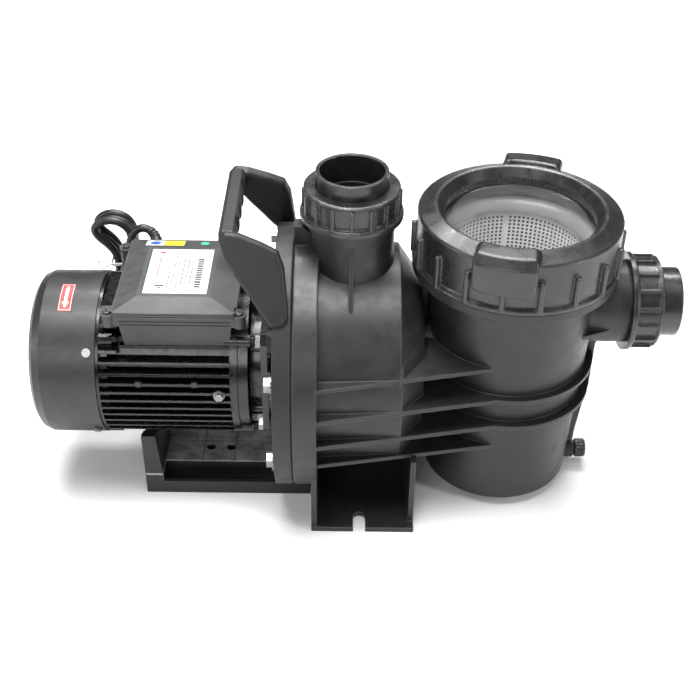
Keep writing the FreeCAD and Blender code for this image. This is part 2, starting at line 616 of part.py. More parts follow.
def lid():
    lens = turned("lens_body", [
        ("0", "lens_top - 5"), ("lens_radius - 6", "lens_top - 5"), ("lens_radius - 6", "pot_rim + 0.3"),
        ("77.5", "pot_rim + 0.3"), ("77.5", "pot_rim + 3"), ("81.5", "pot_rim + 3"),
        ("81.5", "pot_rim + 0.3"), ("83.6", "pot_rim + 0.3"), ("83.6", "pot_rim + 6.5"),
        ("lens_radius + 0.3", "pot_rim + 6.5"), ("lens_radius + 0.3", "lens_top - 1.5"),
        ("lens_radius - 1.2", "lens_top"), ("0", "lens_top")], "V_Axis", "pot_x", "0", "0")
    node(lens, "lid_lens")
    node(torus_z("lid_seal", "79.5", "1.4", "pot_rim + 1.55", "pot_x"), "lid_o_ring")
    ring = turned("ring_body", [
        ("ring_inner", "ring_skirt"), ("ring_outer + 3.2", "ring_skirt"),
        ("ring_outer + 3.2", "ring_skirt + 3"), ("ring_outer", "ring_skirt + 6"),
        ("ring_outer", "ring_shoulder - 1.5"), ("ring_outer - 1.5", "ring_shoulder"),
        ("ring_mouth + 1.5", "ring_top"), ("ring_mouth - 0.5", "ring_top - 0.5"),
        ("ring_opening", "lens_top - 1"), ("ring_opening", "pot_rim + 7"), ("ring_inner", "pot_rim + 7")],
        "V_Axis", "pot_x", "0", "0", Rotation(Vector(0, 0, 1), size("grip_turn")))
    ribs = []
    count = int(360 / size("ring_rib_step"))
    for index in range(count):
        degrees = index * size("ring_rib_step") + size("grip_turn") + 10
        rib = block("ring_rib_block_%d" % (index + 1), "ring_outer - 3", "ring_outer + 4.5", "-2.5", "2.5",
                    "ring_skirt + 1", "ring_shoulder - 14.7")
        ribs.append(soften("ring_rib_soft_%d" % (index + 1), turn_about_pot(rib, degrees), 1.8, every_edge))
    grips = []
    for index, degrees in enumerate((-90, 90)):
        sweep = turned("grip_sweep_%d" % (index + 1), [
            ("ring_mouth + 2", "ring_top - 7"), ("ring_mouth + 3", "grip_top"),
            ("grip_radius - 7", "grip_top - 1"), ("grip_radius", "grip_top - 9"),
            ("grip_radius - 1", "grip_bottom - 2"), ("ring_inner + 1.5", "grip_bottom - 2"),
            ("ring_inner + 1.5", "ring_top - 7")], "V_Axis", "pot_x", "0", "0")
        window = block("grip_window_%d" % (index + 1), "ring_opening", "grip_radius + 5", "-grip_half",
                       "grip_half", "grip_bottom", "grip_top")
        window = soften("grip_window_soft_%d" % (index + 1),
                        turn_about_pot(window, degrees + size("grip_turn")), 7, radial_edge)
        wing = common("grip_wing_%d" % (index + 1), sweep, window)
        grips.append(soften("grip_soft_%d" % (index + 1), wing, 2.5, every_edge))
    node(fuse("lid_ring_fused", [ring] + ribs + grips), "lid_ring")
    basket()


def turn_about_pot(thing, degrees):
    """Moves a piece made at X = radius to an angle about the pot's axis."""
    document.recompute()
    base = thing.Placement
    for axis in "xyz":
        thing.setExpression("Placement.Base." + axis, None)
    thing.Placement = Placement(Vector(size("pot_x"), 0, 0), Rotation(Vector(0, 0, 1), degrees)) * base
    return thing


def basket():
    cup = turned("basket_cup", [
        ("0", "96"), ("54", "96"), ("57", "99"), ("64", "basket_ledge - 3"), ("71.8", "basket_ledge - 1"),
        ("72", "basket_ledge + 0.2"), ("75.3", "basket_ledge + 0.2"), ("75.3", "basket_ledge + 4"),
        ("68", "basket_ledge + 4"), ("62", "basket_ledge - 3"),
        ("55", "101"), ("53", "98"), ("0", "98")], "V_Axis", "pot_x", "0", "0")
    inlet = rod("basket_inlet", "26", "pot_x + 40", "pot_x + 80", z="suction_height")
    bail = block("basket_bail", "pot_x - 4", "pot_x + 4", "-66", "66", "basket_ledge + 0.5",
                 "basket_ledge + 3.5")
    node(fuse("basket_fused", [cut("basket_cut", cup, [inlet]), bail]), "strainer_basket")


def drain():
    face = "pot_x + 79"
    node(torus_x("drain_seal", "6.3", "1.1", f"{face} + 1.2", "drain_height"), "drain_o_ring")
    plug = fuse("drain_plug_fused", [
        rod("drain_shank", "3.8", f"{face} - 10", f"{face} + 3", z="drain_height"),
        rod("drain_cap", "8.6", f"{face} + 2.4", f"{face} + 12.5", z="drain_height")])
    knurls = []
    for index in range(18):
        angle = math.radians(20 * index)
        knurls.append(rod("knurl_%d" % (index + 1), "0.7", f"{face} + 3.4", f"{face} + 11.5",
                          f"{8.6 * math.cos(angle):.4f}", f"drain_height + {8.6 * math.sin(angle):.4f}"))
    node(fuse("drain_plug_knurled", [plug] + knurls), "drain_plug")


def motor_housing():
    shell = [rod("housing_shell", "housing_radius", "housing_left", "housing_right"),
             rod("housing_left_band", "housing_radius + 3", "housing_left", "housing_left + 7"),
             rod("housing_right_band", "fin_radius - 2", "housing_right - 7", "housing_right")]
    fins = []
    fin_left, fin_right = "housing_left + 0.5", "housing_right - 6.5"
    for index, offset in enumerate((-45, -35.5, -26, -17, -8.5, 0, 8.5, 17, 26, 35.5)):
        fins.append(block("side_fin_%d" % (index + 1), fin_left, fin_right, "-fin_radius - 1",
                          "fin_radius + 1", f"shaft_height + {offset} - fin_thickness / 2",
                          f"shaft_height + {offset} + fin_thickness / 2"))
    for index, offset in enumerate((44, 52.5, 61, 69.5)):
        fins.append(block("shoulder_fin_%d" % (index + 1), fin_left, "box_left - 3", "-fin_radius - 1",
                          "fin_radius + 1", f"shaft_height + {offset} - fin_thickness / 2",
                          f"shaft_height + {offset} + fin_thickness / 2"))
    for index, offset in enumerate((-36, -24, -12, 0, 12, 24, 36)):
        fins.append(block("bottom_fin_%d" % (index + 1), fin_left, fin_right,
                          f"{offset} - fin_thickness / 2", f"{offset} + fin_thickness / 2",
                          "shaft_height - fin_radius - 1", "shaft_height"))
    rounded_fins = common("rounded_fins", fuse("fins", fins),
                          rod("fin_limit", "fin_radius", "housing_left", "housing_right"))
    lugs = rod_circle("housing_lug_left", "6.5", "housing_left", "housing_left + 12", "tie_circle",
                      CORNER_ANGLES)
    lugs += rod_circle("housing_lug_right", "6.5", "housing_right - 12", "housing_right", "tie_circle",
                       CORNER_ANGLES)
    pad = block("terminal_pad", "box_left - 1", "box_right + 1", "-55", "55", "shaft_height + 44",
                "box_bottom")
    tabs = [block("fin_tab_%d" % (index + 1), f"{middle} - 2.5", f"{middle} + 2.5", "-75", "-68",
                  "shaft_height + 15.5", "shaft_height + 21")
            for index, middle in enumerate(("-188", "-138"))]
    screw_x = "-116.8"
    screw_z = "shaft_height + 5.8"
    boss = bar("earth_boss", "5.5", "-73.5", "-60", screw_x, screw_z)
    outer = fuse("housing_outer", shell + [rounded_fins, pad, boss] + tabs + lugs)
    holes = rod_circle("tie_hole", "2.6", "housing_left - 1", "housing_right + 1", "tie_circle",
                       CORNER_ANGLES)
    bore = rod("housing_hollow", "housing_bore", "housing_left - 1", "housing_right + 1")
    screw_spaces = [bar("earth_hole", "2", "-75", "-61.5", screw_x, screw_z),
                    bar("earth_seat", "6.4", "-80", "-73.5", screw_x, screw_z)]
    node(cut("housing_cut", outer, [bore] + screw_spaces + holes), "motor_housing")
    node(fuse("earth_fused", [bar("earth_shank", "2", "-74", "-62.5", screw_x, screw_z),
                              bar("earth_washer", "5.2", "-74.3", "-73.5", screw_x, screw_z),
                              hex_bar("earth_head", "3.8", "-77.6", "-74.3", screw_x, screw_z)]),
         "earth_screw")


def end_shields():
    front_disc = turned("front_shield_turned", [
        ("housing_right - 4", "housing_bore - 0.1"), ("housing_right", "housing_bore - 0.1"),
        ("housing_right", "72"), ("housing_right + 9", "72"), ("housing_right + 11.4", "68"),
        ("housing_right + 11.4", "30"), ("housing_right + 17", "26"), ("housing_right + 17", "9.2"),
        ("housing_right + 15", "9.2"), ("housing_right + 15", "20"), ("housing_right + 2", "20"),
        ("housing_right + 2", "27"), ("housing_right + 4", "30"), ("housing_right + 6", "52"),
        ("housing_right - 4", "55")])
    lugs = rod_circle("front_lug", "6.5", "housing_right", "housing_right + 11.4", "tie_circle",
                      CORNER_ANGLES)
    legs = rod_circle("adapter_leg", "7", "housing_right + 10", "seal_plate_left - 13.3", "52",
                      CORNER_ANGLES)
    front_holes = rod_circle("front_tie_hole", "2.6", "housing_right - 1", "housing_right + 12",
                             "tie_circle", CORNER_ANGLES)
    bell = cut("front_bell", rod("front_bell_outer", "50", "housing_right + 10", "seal_plate_left - 13.3"),
               [rod("front_bell_inner", "34", "housing_right + 9", "seal_plate_left - 12")])
    node(cut("front_shield_cut", fuse("front_shield_outer", [front_disc, bell] + lugs + legs), front_holes),
         "front_end_shield")
    rear_disc = turned("rear_shield_turned", [
        ("housing_left + 4", "housing_bore - 0.1"), ("housing_left", "housing_bore - 0.1"),
        ("housing_left", "cover_radius - cover_wall - 0.1"),
        ("housing_left - 13", "cover_radius - cover_wall - 0.1"), ("housing_left - 13", "68"),
        ("housing_left - 4", "66"), ("housing_left - 4", "24"), ("housing_left - 12", "22"),
        ("housing_left - 12", "8.2"), ("housing_left - 10", "8.2"), ("housing_left - 10", "17.5"),
        ("housing_left + 1", "17.5"), ("housing_left + 1", "24"), ("housing_left + 4", "56")])
    rear_holes = rod_circle("rear_tie_hole", "2.6", "housing_left - 14", "housing_left + 1",
                            "tie_circle", CORNER_ANGLES)
    screw_holes = [radial_screw("cover_screw_hole_%d" % index, degrees, "2.1", "66", "cover_radius")
                   for index, degrees in enumerate(COVER_SCREW_ANGLES)]
    node(cut("rear_shield_cut", rear_disc, rear_holes + screw_holes), "rear_end_shield")
    ties = []
    for index, degrees in enumerate(CORNER_ANGLES):
        y, z = around_shaft("tie_circle", degrees)
        name = "tie_bolt_%d" % (index + 1)
        ties.append(fuse(name, [
            rod(name + "_shank", "2.5", "housing_left - 16", "housing_right + 15", y, z),
            rod(name + "_head", "4.5", "housing_right + 11.4", "housing_right + 15", y, z),
            rod(name + "_nut", "4.4", "housing_left - 16.5", "housing_left - 13", y, z)]))
    node(group("tie_group", ties), "tie_bolts")


def radial_screw(name, degrees, radius, inner, outer):
    """Cylinder that points away from the shaft, at the fan cover's screw line."""
    screw = bind(add("Part::Cylinder", name), Radius=radius, Height=f"({outer}) - ({inner})")
    turn = Rotation(Vector(1, 0, 0), degrees - 90)
    y, z = around_shaft(inner, degrees)
    return place(screw, "housing_left - 9.5", y, z, turn)


def fan_cover():
    edge = "housing_left - 3"
    wall = "cover_wall"
    shell = turned("cover_turned", [
        (edge, "cover_radius"), ("cover_left + 12", "cover_radius"), ("cover_left + 5", "cover_radius - 3"),
        ("cover_left + 1.5", "cover_radius - 8"), ("cover_left", "cover_radius - 16"), ("cover_left", "0"),
        (f"cover_left + {wall}", "0"), (f"cover_left + {wall}", "cover_radius - 17"),
        ("cover_left + 3.5", "cover_radius - 9.5"), ("cover_left + 6.5", "cover_radius - 5"),
        ("cover_left + 13", f"cover_radius - {wall}"), (edge, f"cover_radius - {wall}")])
    slots = []
    for index in range(12):
        for inner, outer in ((14, 32), (37, 56)):
            slot = block("cover_slot_%d_%d" % (index + 1, inner), "cover_left - 1", "cover_left + 3",
                         "-2.5", "2.5", f"shaft_height + {inner}", f"shaft_height + {outer}")
            slots.append(turn_about_shaft(slot, 30 * index))
    holes = [radial_screw("cover_hole_%d" % index, degrees, "2.4", "70", "80")
             for index, degrees in enumerate(COVER_SCREW_ANGLES)]
    node(cut("cover_cut", shell, slots + holes), "fan_cover")
    screws = []
    for index, degrees in enumerate(COVER_SCREW_ANGLES):
        name = "cover_screw_%d" % (index + 1)
        shank = radial_screw(name + "_shank", degrees, "2", "67", "cover_radius + 0.5")
        head = radial_screw(name + "_head", degrees, "4", "cover_radius + 0.1", "cover_radius + 2.4")
        screws.append(fuse(name, [shank, head]))
    node(group("cover_screws", screws), "fan_cover_screws")


def rotor_and_stator():
    core_left = "-205"
    core_right = "-125"
    node(turned("stator_turned", [(core_left, "36.4"), (core_right, "36.4"), (core_right, "housing_bore"),
                                  (core_left, "housing_bore")]), "stator_core")
    windings = []
    for name, left, right in (("left", "-219", core_left), ("right", core_right, "-111")):
        windings.append(turned("winding_" + name, [(left, "43"), (left, "53"), (f"{left} + 3", "56"),
                                                   (f"{right} - 3", "56"), (right, "53"), (right, "40"),
                                                   (f"{left} + 4", "40")]))
    node(group("winding_group", windings), "stator_windings")
    node(turned("rotor_turned", [("-212", "shaft_rotor_radius"), ("-212", "30"), (core_left, "33"),
                                 (core_left, "35.6"), (core_right, "35.6"), (core_right, "33"),
                                 ("-118", "30"), ("-118", "shaft_rotor_radius")]), "rotor_core")
    node(turned("shaft_turned", [("-263", "0"), ("-263", "shaft_tail_radius"),
                                 ("-222.5", "shaft_tail_radius"), ("-222.5", "shaft_rotor_radius"),
                                 ("-100", "shaft_rotor_radius"), ("-98", "shaft_radius"),
                                 ("-38", "shaft_radius"), ("-38", "9"), ("-30", "9"), ("-30", "4"),
                                 ("-36", "4"), ("-36", "0")]), "motor_shaft")
    balls = bearing("front", "-98", "-86", "shaft_radius", 12.1, 16.5, 20)
    balls += bearing("rear", "-233.5", "-222.5", "shaft_tail_radius", 10.6, 14.2, 17.5)
    node(group("ball_group", balls), "bearing_balls")
    hub = turned("fan_hub", [("-259", "shaft_tail_radius"), ("-259", "14"), ("-244", "18"),
                             ("-241", "40"), ("-239", "40"), ("-239", "shaft_tail_radius")])
    blades = []
    for index in range(7):
        blade = block("fan_blade_%d" % (index + 1), "-259", "-239.5", "-1", "1", "shaft_height + 13",
                      "shaft_height + 63")
        blades.append(turn_about_shaft(blade, 360 * index / 7))
    node(fuse("fan_fused", [hub] + blades), "cooling_fan")


def bearing(name, left, right, bore, inner, outer_bore, outer):
    """Deep groove ball bearing with plain races; returns its balls."""
    node(turned(name + "_inner_race", [(left, bore), (right, bore), (right, str(inner)),
                                       (left, str(inner))]), name + "_bearing_inner")
    node(turned(name + "_outer_race", [(left, str(outer_bore)), (right, str(outer_bore)),
                                       (right, str(outer)), (left, str(outer))]), name + "_bearing_outer")
    ball_radius = (outer_bore - inner) / 2 - 0.25
    ball_circle = (outer_bore + inner) / 2
    balls = []
    for index in range(BALL_COUNT):
        y, z = around_shaft(str(ball_circle), 360 * index / BALL_COUNT)
        ball = bind(add("Part::Sphere", "%s_ball_%d" % (name, index + 1)), Radius=str(ball_radius))
        balls.append(place(ball, f"(({left}) + ({right})) / 2", y, z))
    return balls


def adapter():
    left = "seal_plate_left - 13.3"
    right = "seal_plate_left - 7.3"
    square = block("adapter_square", left, right, "-56", "56", "shaft_height - 56", "shaft_height + 56")
    limit = rod("adapter_limit", "74", left, right)
    rounded = common("adapter_rounded", square, limit)
    holes = rod_circle("adapter_plate_hole", "3.4", f"{left} - 1", f"{right} + 1", "68", CORNER_ANGLES)
    centre = rod("adapter_centre", "28", f"{left} - 1", f"{right} + 1")
    node(cut("adapter_cut", rounded, [centre] + holes), "motor_adapter")
    bolts = []
    for index, degrees in enumerate(CORNER_ANGLES):
        y, z = around_shaft("68", degrees)
        name = "adapter_bolt_%d" % (index + 1)
        bolts.append(fuse(name, [rod(name + "_shank", "3.2", f"{left} - 1", "seal_plate_left + 8", y, z),
                                 hexagon(name + "_head", "5.5", f"{left} - 4.5", left, y, z)]))
    node(group("adapter_bolt_group", bolts), "adapter_bolts")


def terminal_box():
    outer = frustum("box_outer", ("box_left + 4", "box_right - 4", "box_half - 3.5"),
                    ("box_left", "box_right", "box_half"), "box_bottom", "box_top")
    inner = frustum("box_inner", ("box_left + 7", "box_right - 7", "box_half - 6.5"),
                    ("box_left + 3", "box_right - 3", "box_half - 3"), "box_bottom + 4", "box_top + 1")
    pocket = cut("box_pocket", inner,
                 [rod("box_floor", "housing_radius + 3", "box_left - 5", "box_right + 5")])
    saddle = rod("box_saddle", "housing_radius + 0.2", "box_left - 5", "box_right + 5")
    band_space = [rod("band_space", "fin_radius - 1.9", "housing_right - 7.1", "housing_right + 1")]
    band_space += rod_circle("lug_space", "6.6", "housing_right - 12.1", "housing_right + 1", "tie_circle",
                             [45, 135])
    band_space += rod_circle("tie_space", "2.8", "box_left - 1", "box_right + 1", "tie_circle", [45, 135])
    gland_hole = bar("gland_hole", "8", "box_half - 10", "box_half + 5", "box_left + 16", "box_top - 14")
    gasket = cut("gasket_cut",
                 block("gasket_outer", "box_left + 0.5", "box_right - 0.5", "0.5 - box_half",
                       "box_half - 0.5", "box_top", "box_top + 1"),
                 [block("gasket_inner", "box_left + 3", "box_right - 3", "3 - box_half", "box_half - 3",
                        "box_top - 1", "box_top + 2")])
    node(gasket, "terminal_gasket")
    rim = block("lid_rim_block", "lid_left", "lid_right", "-lid_half", "lid_half", "box_top - 1", "lid_rim")
    rim = soften("lid_rim_soft", rim, 5, upright_edge)
    rim_grooves = []
    for index, height in enumerate(("box_top + 0.4", "box_top + 2.6")):
        name = "rim_groove_%d" % (index + 1)
        rim_grooves.append(cut(name, block(name + "_outer", "lid_left - 1", "lid_right + 1", "-lid_half - 1",
                                           "lid_half + 1", height, f"{height} + 1"),
                               [block(name + "_inner", "lid_left + 1", "lid_right - 1", "1 - lid_half",
                                      "lid_half - 1", f"{height} - 1", f"{height} + 2")]))
    rim = cut("lid_rim_grooved", rim, rim_grooves)
    panel = frustum("lid_pyramid", ("lid_left + 1", "lid_right - 1", "lid_half - 1"),
                    ("lid_left + 19.5", "lid_right - 23.5", "lid_half - 20"), "lid_rim", "lid_panel")
    ears = []
    ear_holes = []
    screws = []
    for index, (x, y) in enumerate(ear_places()):
        name = "lid_screw_%d" % (index + 1)
        ears.append(post("ear_%d" % (index + 1), "6.5", "box_top - 1", "lid_rim - 4", x, y))
        ear_holes.append(post("ear_hole_%d" % (index + 1), "2.4", "box_top - 2", "lid_rim", x, y))
        ear_holes.append(post("ear_pocket_%d" % (index + 1), "4.6", "lid_rim - 4", "lid_rim + 5", x, y))
        head = cut(name + "_slotted", post(name + "_head", "4", "lid_rim - 4", "lid_rim - 1.5", x, y),
                   [block(name + "_slot_x", f"{x} - 2.6", f"{x} + 2.6", f"{y} - 0.6", f"{y} + 0.6",
                          "lid_rim - 2.7", "lid_rim"),
                    block(name + "_slot_y", f"{x} - 0.6", f"{x} + 0.6", f"{y} - 2.6", f"{y} + 2.6",
                          "lid_rim - 2.7", "lid_rim")])
        screws.append(fuse(name, [post(name + "_shank", "2.2", "box_top - 11", "lid_rim - 3.9", x, y), head]))
    hollow = block("lid_hollow", "box_left + 4", "box_right - 4", "4 - box_half", "box_half - 4",
                   "box_top", "lid_rim - 2.5")
    skirt_space = block("lid_skirt_space", "box_left - 0.4", "box_right + 0.4", "-box_half - 0.4",
                        "box_half + 0.4", "box_top - 2", "box_top + 1")
    node(cut("lid_cut", fuse("lid_outer", [rim, panel] + ears), [hollow, skirt_space] + ear_holes),
         "terminal_lid")
    node(group("lid_screws", screws), "terminal_lid_screws")
    box_grooves = []
    for index, depth in enumerate((2.5, 6.2, 10)):
        name = "box_groove_%d" % (index + 1)
        foot, head = f"box_top - {depth} - 1.2", f"box_top - {depth}"
        bite = 1.1 + 0.12 * depth
        box_grooves.append(cut(name, block(name + "_outer", "box_left - 1", "box_right + 1", "-box_half - 1",
                                           "box_half + 1", foot, head),
                               [block(name + "_inner", f"box_left + {bite}", f"box_right - {bite}",
                                      f"{bite} - box_half", f"box_half - {bite}", foot + " - 1",
                                      head + " + 1")]))
    outer = cut("box_grooved", outer, box_grooves)
    posts = []
    post_holes = []
    for index, (x, y) in enumerate(ear_places()):
        name = "box_post_%d" % (index + 1)
        reach = sorted([x, "box_left + 2" if index % 2 == 0 else "box_right - 2"], key=size)
        posts.append(post(name, "5.5", "box_top - 12", "box_top - 1.1", x, y))
        posts.append(block(name + "_web", reach[0], reach[1], f"{y} - 3", f"{y} + 3", "box_top - 12",
                           "box_top - 1.1"))
        post_holes.append(post(name + "_hole", "2.2", "box_top - 11", "box_top", x, y))
    node(cut("box_cut", fuse("box_with_posts", [outer] + posts),
             [pocket, saddle, gland_hole] + band_space + post_holes), "terminal_box")
    capacitor = rod("capacitor_can", "11", "box_left + 16", "box_right - 16", "-40", "shaft_height + 70.5")
    node(capacitor, "capacitor")
    block_node = block("terminal_strip", "box_left + 44", "box_right - 14", "20", "38",
                       "shaft_height + 68", "box_top - 1")
    node(block_node, "terminal_block")
    node(block("label_plate", "lid_left + 24.5", "lid_left + 80.9", "-36.4", "36.4", "lid_panel",
               "lid_panel + 0.4"), "rating_label")
    gland = fuse("gland_fused", [
        hex_bar("gland_nut", "9.5", "box_half", "box_half + 8", "box_left + 16", "box_top - 14"),
        bar("gland_thread", "7.8", "box_half - 9", "box_half + 1", "box_left + 16", "box_top - 14"),
        bar("gland_cap", "8.6", "box_half + 7", "box_half + 18", "box_left + 16", "box_top - 14")])
    gland_bore = bar("gland_bore", "cord_diameter / 2", "box_half - 10", "box_half + 20",
                     "box_left + 16", "box_top - 14")
    node(cut("gland_cut", gland, [gland_bore]), "cable_gland")


def ear_places():
    """Screws of the terminal lid, left and right by turns."""
    return [("lid_left - 4.3", "-54"), ("lid_right + 2.3", "-54"), ("lid_left - 4.3", "54"),
            ("lid_right + 2.3", "54")]


def hex_bar(name, across_half, front, back, x, z):
    """Hexagonal bar along Y."""
    prism = add("Part::Prism", name)
    prism.Polygon = 6
    bind(prism, Circumradius=f"({across_half}) / 0.866", Height=f"({back}) - ({front})")
    return place(prism, x, front, z, ALONG_Y)


def motor_base():
    floor = [
        block("tray_floor", "tray_left", "tray_right", "-tray_half", "tray_half", "0", "4"),
        block("tray_front_lip", "tray_left", "tray_right", "-tray_half", "5 - tray_half", "0", "tray_lip"),
        block("tray_back_lip", "tray_left", "tray_right", "tray_half - 5", "tray_half", "0", "tray_lip"),
        plate("cradle_wall", [("tray_left", "0"), ("tray_left + 19", "0"), ("tray_left + 13", "cradle_top"),
                              ("tray_left", "cradle_top")], "-tray_half", "tray_half", FACING_FRONT),
        block("platform", "tray_left + 13", "seal_plate_left - 6", "-36", "36", "3", "platform_top")]
    holes = []
    for x_side in (-10, 10):
        for y_side in (-16, 16):
            holes.append(post("base_hole_%d_%d" % (x_side + 10, y_side + 16), "base_hole_radius", "-1",
                              "platform_top + 1", f"base_hole_x + {x_side}", str(y_side)))
    grooves = [block("platform_groove_%d" % (index + 1), f"{middle} - 0.7", f"{middle} + 0.7", "-37", "37",
                     "platform_top - 0.8", "platform_top + 1")
               for index, middle in enumerate(("base_hole_x - 16", "base_hole_x + 15"))]
    grooves.append(block("platform_long_groove", "tray_left + 19", "seal_plate_left - 5", "-6.7", "-5.3",
                         "platform_top - 0.8", "platform_top + 1"))
    flange_space = rod("flange_space", "flange_radius + 1", "seal_plate_left - 2", "joint_face + 24")
    saddle = rod("cradle_saddle", "fin_radius + 2.2", "tray_left - 1", "tray_left + 40")
    node(cut("base_cut", fuse("base_outer", floor), [saddle, flange_space] + holes + grooves),
         "motor_base")
    pad_ring = cut("pad_ring", rod("pad_outer", "fin_radius + 2.2", "tray_left + 1", "tray_left + 12"),
                   [rod("pad_inner", "fin_radius + 0.1", "tray_left", "tray_left + 13")])
    pad_limit = block("pad_limit", "tray_left", "tray_left + 20", "1 - tray_half", "tray_half - 1", "40",
                      "cradle_top")
    node(common("pad_common", pad_ring, pad_limit), "cradle_pad")


def labels():
    left = "-261"
    right = "-249.5"
    patch = common("arrow_patch",
                   cut("arrow_ring", rod("arrow_outer", "cover_radius + 0.3", left, right),
                       [rod("arrow_inner", "cover_radius", f"{left} - 1", f"{right} + 1")]),
                   block("arrow_window", left, right, "-33.8", "-2.7", "shaft_height + 60",
                         "shaft_height + 80"))
    node(patch, "arrow_label")


def route_tube(name, points, diameter):
    """Tube along straight runs that are joined by tangent arcs as large as the runs allow."""
    edges = []
    start = points[0]
    length = 0.0
    for index in range(1, len(points) - 1):
        before = points[index - 1] - points[index]
        after = points[index + 1] - points[index]
        turn = math.pi - before.getAngle(after)
        shorter = min(before.Length, after.Length)
        cut_back = 0.45 * shorter
        radius = cut_back / math.tan(turn / 2)
        print("%s radius %d: %.1f diameters" % (name, index, radius / diameter))
        first = points[index] + Vector(before).normalize() * cut_back
        last = points[index] + Vector(after).normalize() * cut_back
        inward = (Vector(before).normalize() + Vector(after).normalize()).normalize()
        middle = points[index] + inward * (radius / math.cos(turn / 2) - radius)
        edges.append(Part.LineSegment(start, first).toShape())
        edges.append(Part.Arc(first, middle, last).toShape())
        start = last
    edges.append(Part.LineSegment(start, points[-1]).toShape())
    wire = Part.Wire(edges)
    length = wire.Length
    direction = points[1] - points[0]
    circle = Part.Wire(Part.Circle(points[0], direction, diameter / 2).toShape())
    tube = wire.makePipeShell([circle], True, False)
    expected = math.pi * (diameter / 2) ** 2 * length
    print("%s length %.1f, volume error %.4f" % (name, length, tube.Volume / expected - 1))
    feature = add("Part::Feature", name)
    feature.Shape = tube
    feature.Placement = Placement()
    return feature


def mains_cord():
    diameter = size("cord_diameter")
    exit_x = size("box_left + 16")
    exit_y = size("box_half + 18")
    exit_z = size("box_top - 14")
    hank_y = size("hank_y")
    lead = [Vector(exit_x, exit_y - 4, exit_z), Vector(exit_x, exit_y + 10, exit_z + 1),
            Vector(-193, 94, 204.5), Vector(-202, 95.5, 209), Vector(-210, 95, 206),
            Vector(-215.5, 93.5, 197), Vector(-219, 92.5, 184), Vector(-223, 92, 168),
            Vector(-229, 94, 148), Vector(-235, 99, 128), Vector(-239, 103.9, 108)]
    lead_tube = route_tube("cord_lead", lead, diameter)
    top = Vector(-235, hank_y, 213)
    bottom = Vector(-219, hank_y, 1)
    axis = top - bottom
    half = size("hank_width") / 2
    lean = Rotation(Vector(0, 1, 0), math.degrees(math.atan2(axis.x, axis.z)))
    straight = axis.Length - 2 * half
    thickness = size("hank_thickness")
    front = -thickness / 2
    corners = [Vector(-half, front, 0), Vector(-half, front, straight), Vector(half, front, straight),
               Vector(half, front, 0)]
    outline = [Part.LineSegment(corners[0], corners[1]),
               Part.Arc(corners[1], Vector(0, front, straight + half), corners[2]),
               Part.LineSegment(corners[2], corners[3]),
               Part.Arc(corners[3], Vector(0, front, -half), corners[0])]
    face = Part.Face(Part.Wire([segment.toShape() for segment in outline]))
    slab = face.extrude(Vector(0, thickness, 0))
    hank = add("Part::Feature", "hank_shape")
    hank.Shape = slab
    hank.Placement = Placement(bottom + Vector(axis).normalize() * half, lean)
    node(hank, "cord_hank")
    back = hank_y + 12.4
    plug_y = hank_y + 35
    tail = [Vector(-241.5, back, 44), Vector(-241, back, 15.5), Vector(-229, back + 1.5, 4.9),
            Vector(-208, back + 4, 4.6), Vector(-186, back + 11, 4.6), Vector(-166, back + 19.5, 6),
            Vector(-154, plug_y, 9.5), Vector(-142, plug_y, 9.5)]
    node(group("cord_tubes", [lead_tube, route_tube("cord_tail", tail, diameter)]), "power_cord")
    plug = fuse("plug_fused", [
        cone_rod("plug_sleeve", "5.5", "8", "-146", "-122", str(plug_y), "9.5"),
        rod("plug_grip", "9.5", "-122", "-92", str(plug_y), "9.5")])
    node(cut("plug_cut", plug, [rod("plug_entry", "cord_diameter / 2", "-147", "-142",
                                    str(plug_y), "9.5")]), "plug")
    pins = [rod("plug_pin_%d" % (side + 1), "2", "-92", "-74", str(plug_y + 4.75 * side), "9.5")
            for side in (-1, 1)]
    node(group("pins", pins), "plug_pins")
    reach = thickness / 2
    tie_outer = block("tie_outer", "-hank_width / 2 - 1.5", "hank_width / 2 + 1.5", str(-reach - 1.5),
                      str(reach + 1.5), "-3", "3")
    tie_inner = block("tie_inner", "-hank_width / 2", "hank_width / 2", str(-reach), str(reach), "-4", "4")
    band = cut("tie_band", tie_outer, [tie_inner])
    document.recompute()
    band.Placement = Placement(bottom + Vector(axis).normalize() * 155, lean)
    node(band, "cord_tie")


def check_and_export():
    document.recompute()
    problems = []
    for thing in document.Objects:
        if "Invalid" in thing.State or "Error" in thing.State:
            problems.append(thing.Name + " " + str(thing.State))
    for thing in sub_parts:
        if thing.Shape.isNull() or not thing.Shape.isValid() or not thing.Shape.Solids:
            problems.append(thing.Label + " has no valid solid")
    if problems:
        raise RuntimeError("; ".join(problems))
    os.makedirs("parts", exist_ok=True)
    for thing in sub_parts:
        thing.Shape.exportStep("parts/" + thing.Label + ".step")
    print("%d sub-parts written" % len(sub_parts))


pump_body()
seal_plate()
flange_fasteners()
wet_end()
union_joint("discharge", "0", "nut_bottom", UPRIGHT, "discharge_top - nut_bottom")
union_joint("suction", "suction_nut_x", "suction_height", ALONG_X, "suction_end - suction_nut_x")
lid()
drain()
motor_housing()
end_shields()
fan_cover()
rotor_and_stator()
adapter()
terminal_box()
motor_base()
labels()
mains_cord()
check_and_export()
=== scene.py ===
import math
import random

import bmesh
import bpy
from mathutils import Matrix, Vector


